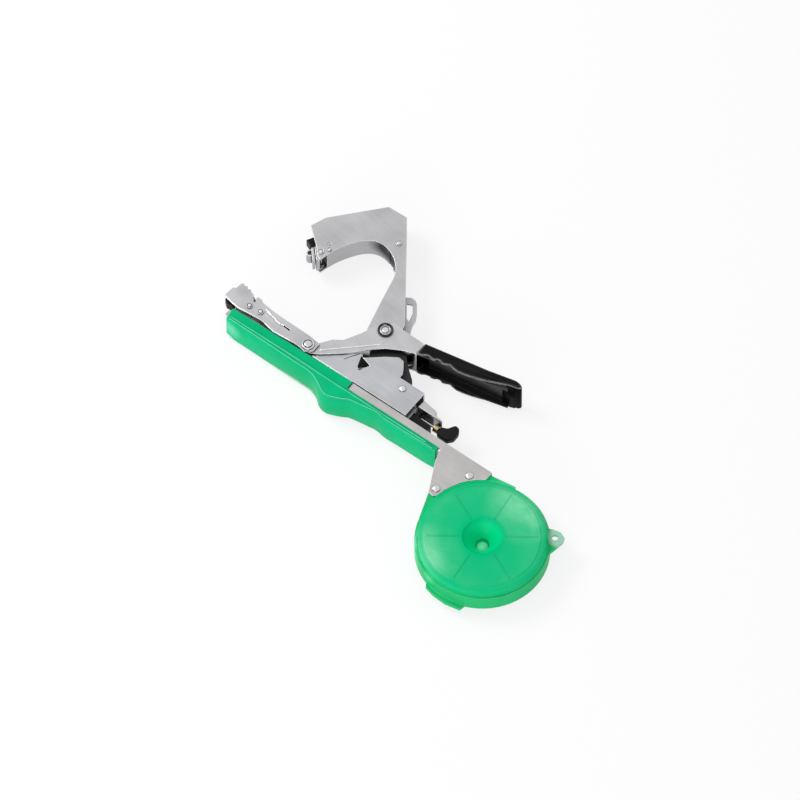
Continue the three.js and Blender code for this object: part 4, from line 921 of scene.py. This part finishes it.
for name, (body, node, thick, points) in sheetLines.items():
    edge = grow(name, lineMesh(name + "Line", [place(*point) for point in points]), wireTree, highlightSteel, smooth=80,
                Thick=thick * mm, Sides=10)
    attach(edge, body)
print("sheet lines ready")

# studio: a pale paper floor in white air, two lamps and a camera far off
studio = {
    "air": 0.55, "paper": 0.97, "paperRough": 0.9, "paperGlow": 0.8, "reach": 3.0, "drop": 0.5,
    "lampAim": (0, 0, 0.01),
    "lamps": {"leftSide": ((-0.95, -0.2, 1.05), (0.6, 0.6), 10.5), "front": ((0.4, -1.4, 0.45), (1.2, 0.5), 9.0)},
}


def seenInPicture(tree):  # 1 for what the camera, glass or metal sees, 0 for what only lights
    rays = tree.nodes.new("ShaderNodeLightPath")
    direct = mathNode(tree, "MAXIMUM", rays.outputs["Is Camera Ray"], rays.outputs["Is Transmission Ray"])
    return mathNode(tree, "MAXIMUM", direct, rays.outputs["Is Glossy Ray"])


def mixInto(tree, share, first, second, output):
    mix = tree.nodes.new("ShaderNodeMixShader")
    for socket, value in zip(mix.inputs, (share, first.outputs[0], second.outputs[0])):
        feed(tree, socket, value)
    tree.links.new(mix.outputs[0], tree.nodes[output].inputs["Surface"])


def makeAir():
    world = bpy.data.worlds.new("studioAir")
    scene.world = world
    world.use_nodes = True
    tree = world.node_tree
    soft = tree.nodes["Background"]
    soft.inputs["Color"].default_value = (1, 1, 1, 1)
    soft.inputs["Strength"].default_value = studio["air"]
    white = tree.nodes.new("ShaderNodeBackground")
    white.inputs["Color"].default_value = (1, 1, 1, 1)
    white.inputs["Strength"].default_value = 1.0
    mixInto(tree, seenInPicture(tree), soft, white, "World Output")


def makeFloor():
    mesh = bpy.data.meshes.new("floor")
    reach = studio["reach"]
    corners = [(-reach, -reach, 0), (reach, -reach, 0), (reach, reach, 0), (-reach, reach, 0)]
    mesh.from_pydata(corners, [], [(0, 1, 2, 3)])
    floor = bpy.data.objects.new("floor", mesh)
    floor.location.z = -studio["drop"] * mm
    scene.collection.objects.link(floor)
    paint, tree, shader = startMaterial("whitePaper", Base_Color=(studio["paper"],) * 3 + (1,),
                                        Roughness=studio["paperRough"])
    glow = tree.nodes.new("ShaderNodeEmission")
    glow.inputs["Strength"].default_value = 1.0
    share = mathNode(tree, "MULTIPLY", seenInPicture(tree), studio["paperGlow"])
    mixInto(tree, share, shader, glow, "Material Output")
    mesh.materials.append(paint)


def softBox(name, where, size, power):
    light = bpy.data.lights.new(name, "AREA")
    light.shape = "RECTANGLE"
    light.size, light.size_y = size
    light.energy = power
    lamp = bpy.data.objects.new(name, light)
    lamp.location = where
    lamp.rotation_mode = "QUATERNION"
    lamp.rotation_quaternion = (Vector(where) - Vector(studio["lampAim"])).to_track_quat("Z", "Y")
    scene.collection.objects.link(lamp)


makeAir()
makeFloor()
for name, facts in studio["lamps"].items():
    softBox(name, *facts)

view = {"azimuth": 37.0, "elevation": 59.0, "distance": 20.0, "pixelsPerMm": 1.62, "pixels": 800, "sensor": 36,
        "aim": place(65.15, 7.9)}
azimuth, elevation = math.radians(view["azimuth"]), math.radians(view["elevation"])
back = Vector((math.sin(azimuth) * math.cos(elevation), -math.cos(azimuth) * math.cos(elevation),
               math.sin(elevation)))
lens = bpy.data.cameras.new("camera")
lens.sensor_width = view["sensor"]
lens.lens = view["pixelsPerMm"] * view["distance"] / mm * view["sensor"] / view["pixels"]
lens.clip_start, lens.clip_end = 0.5, 60
camera = bpy.data.objects.new("camera", lens)
camera.location = view["aim"] + back * view["distance"]
camera.rotation_mode = "QUATERNION"
camera.rotation_quaternion = back.to_track_quat("Z", "Y")
scene.collection.objects.link(camera)
scene.camera = camera
scene.view_settings.view_transform = "Standard"
print("studio ready")
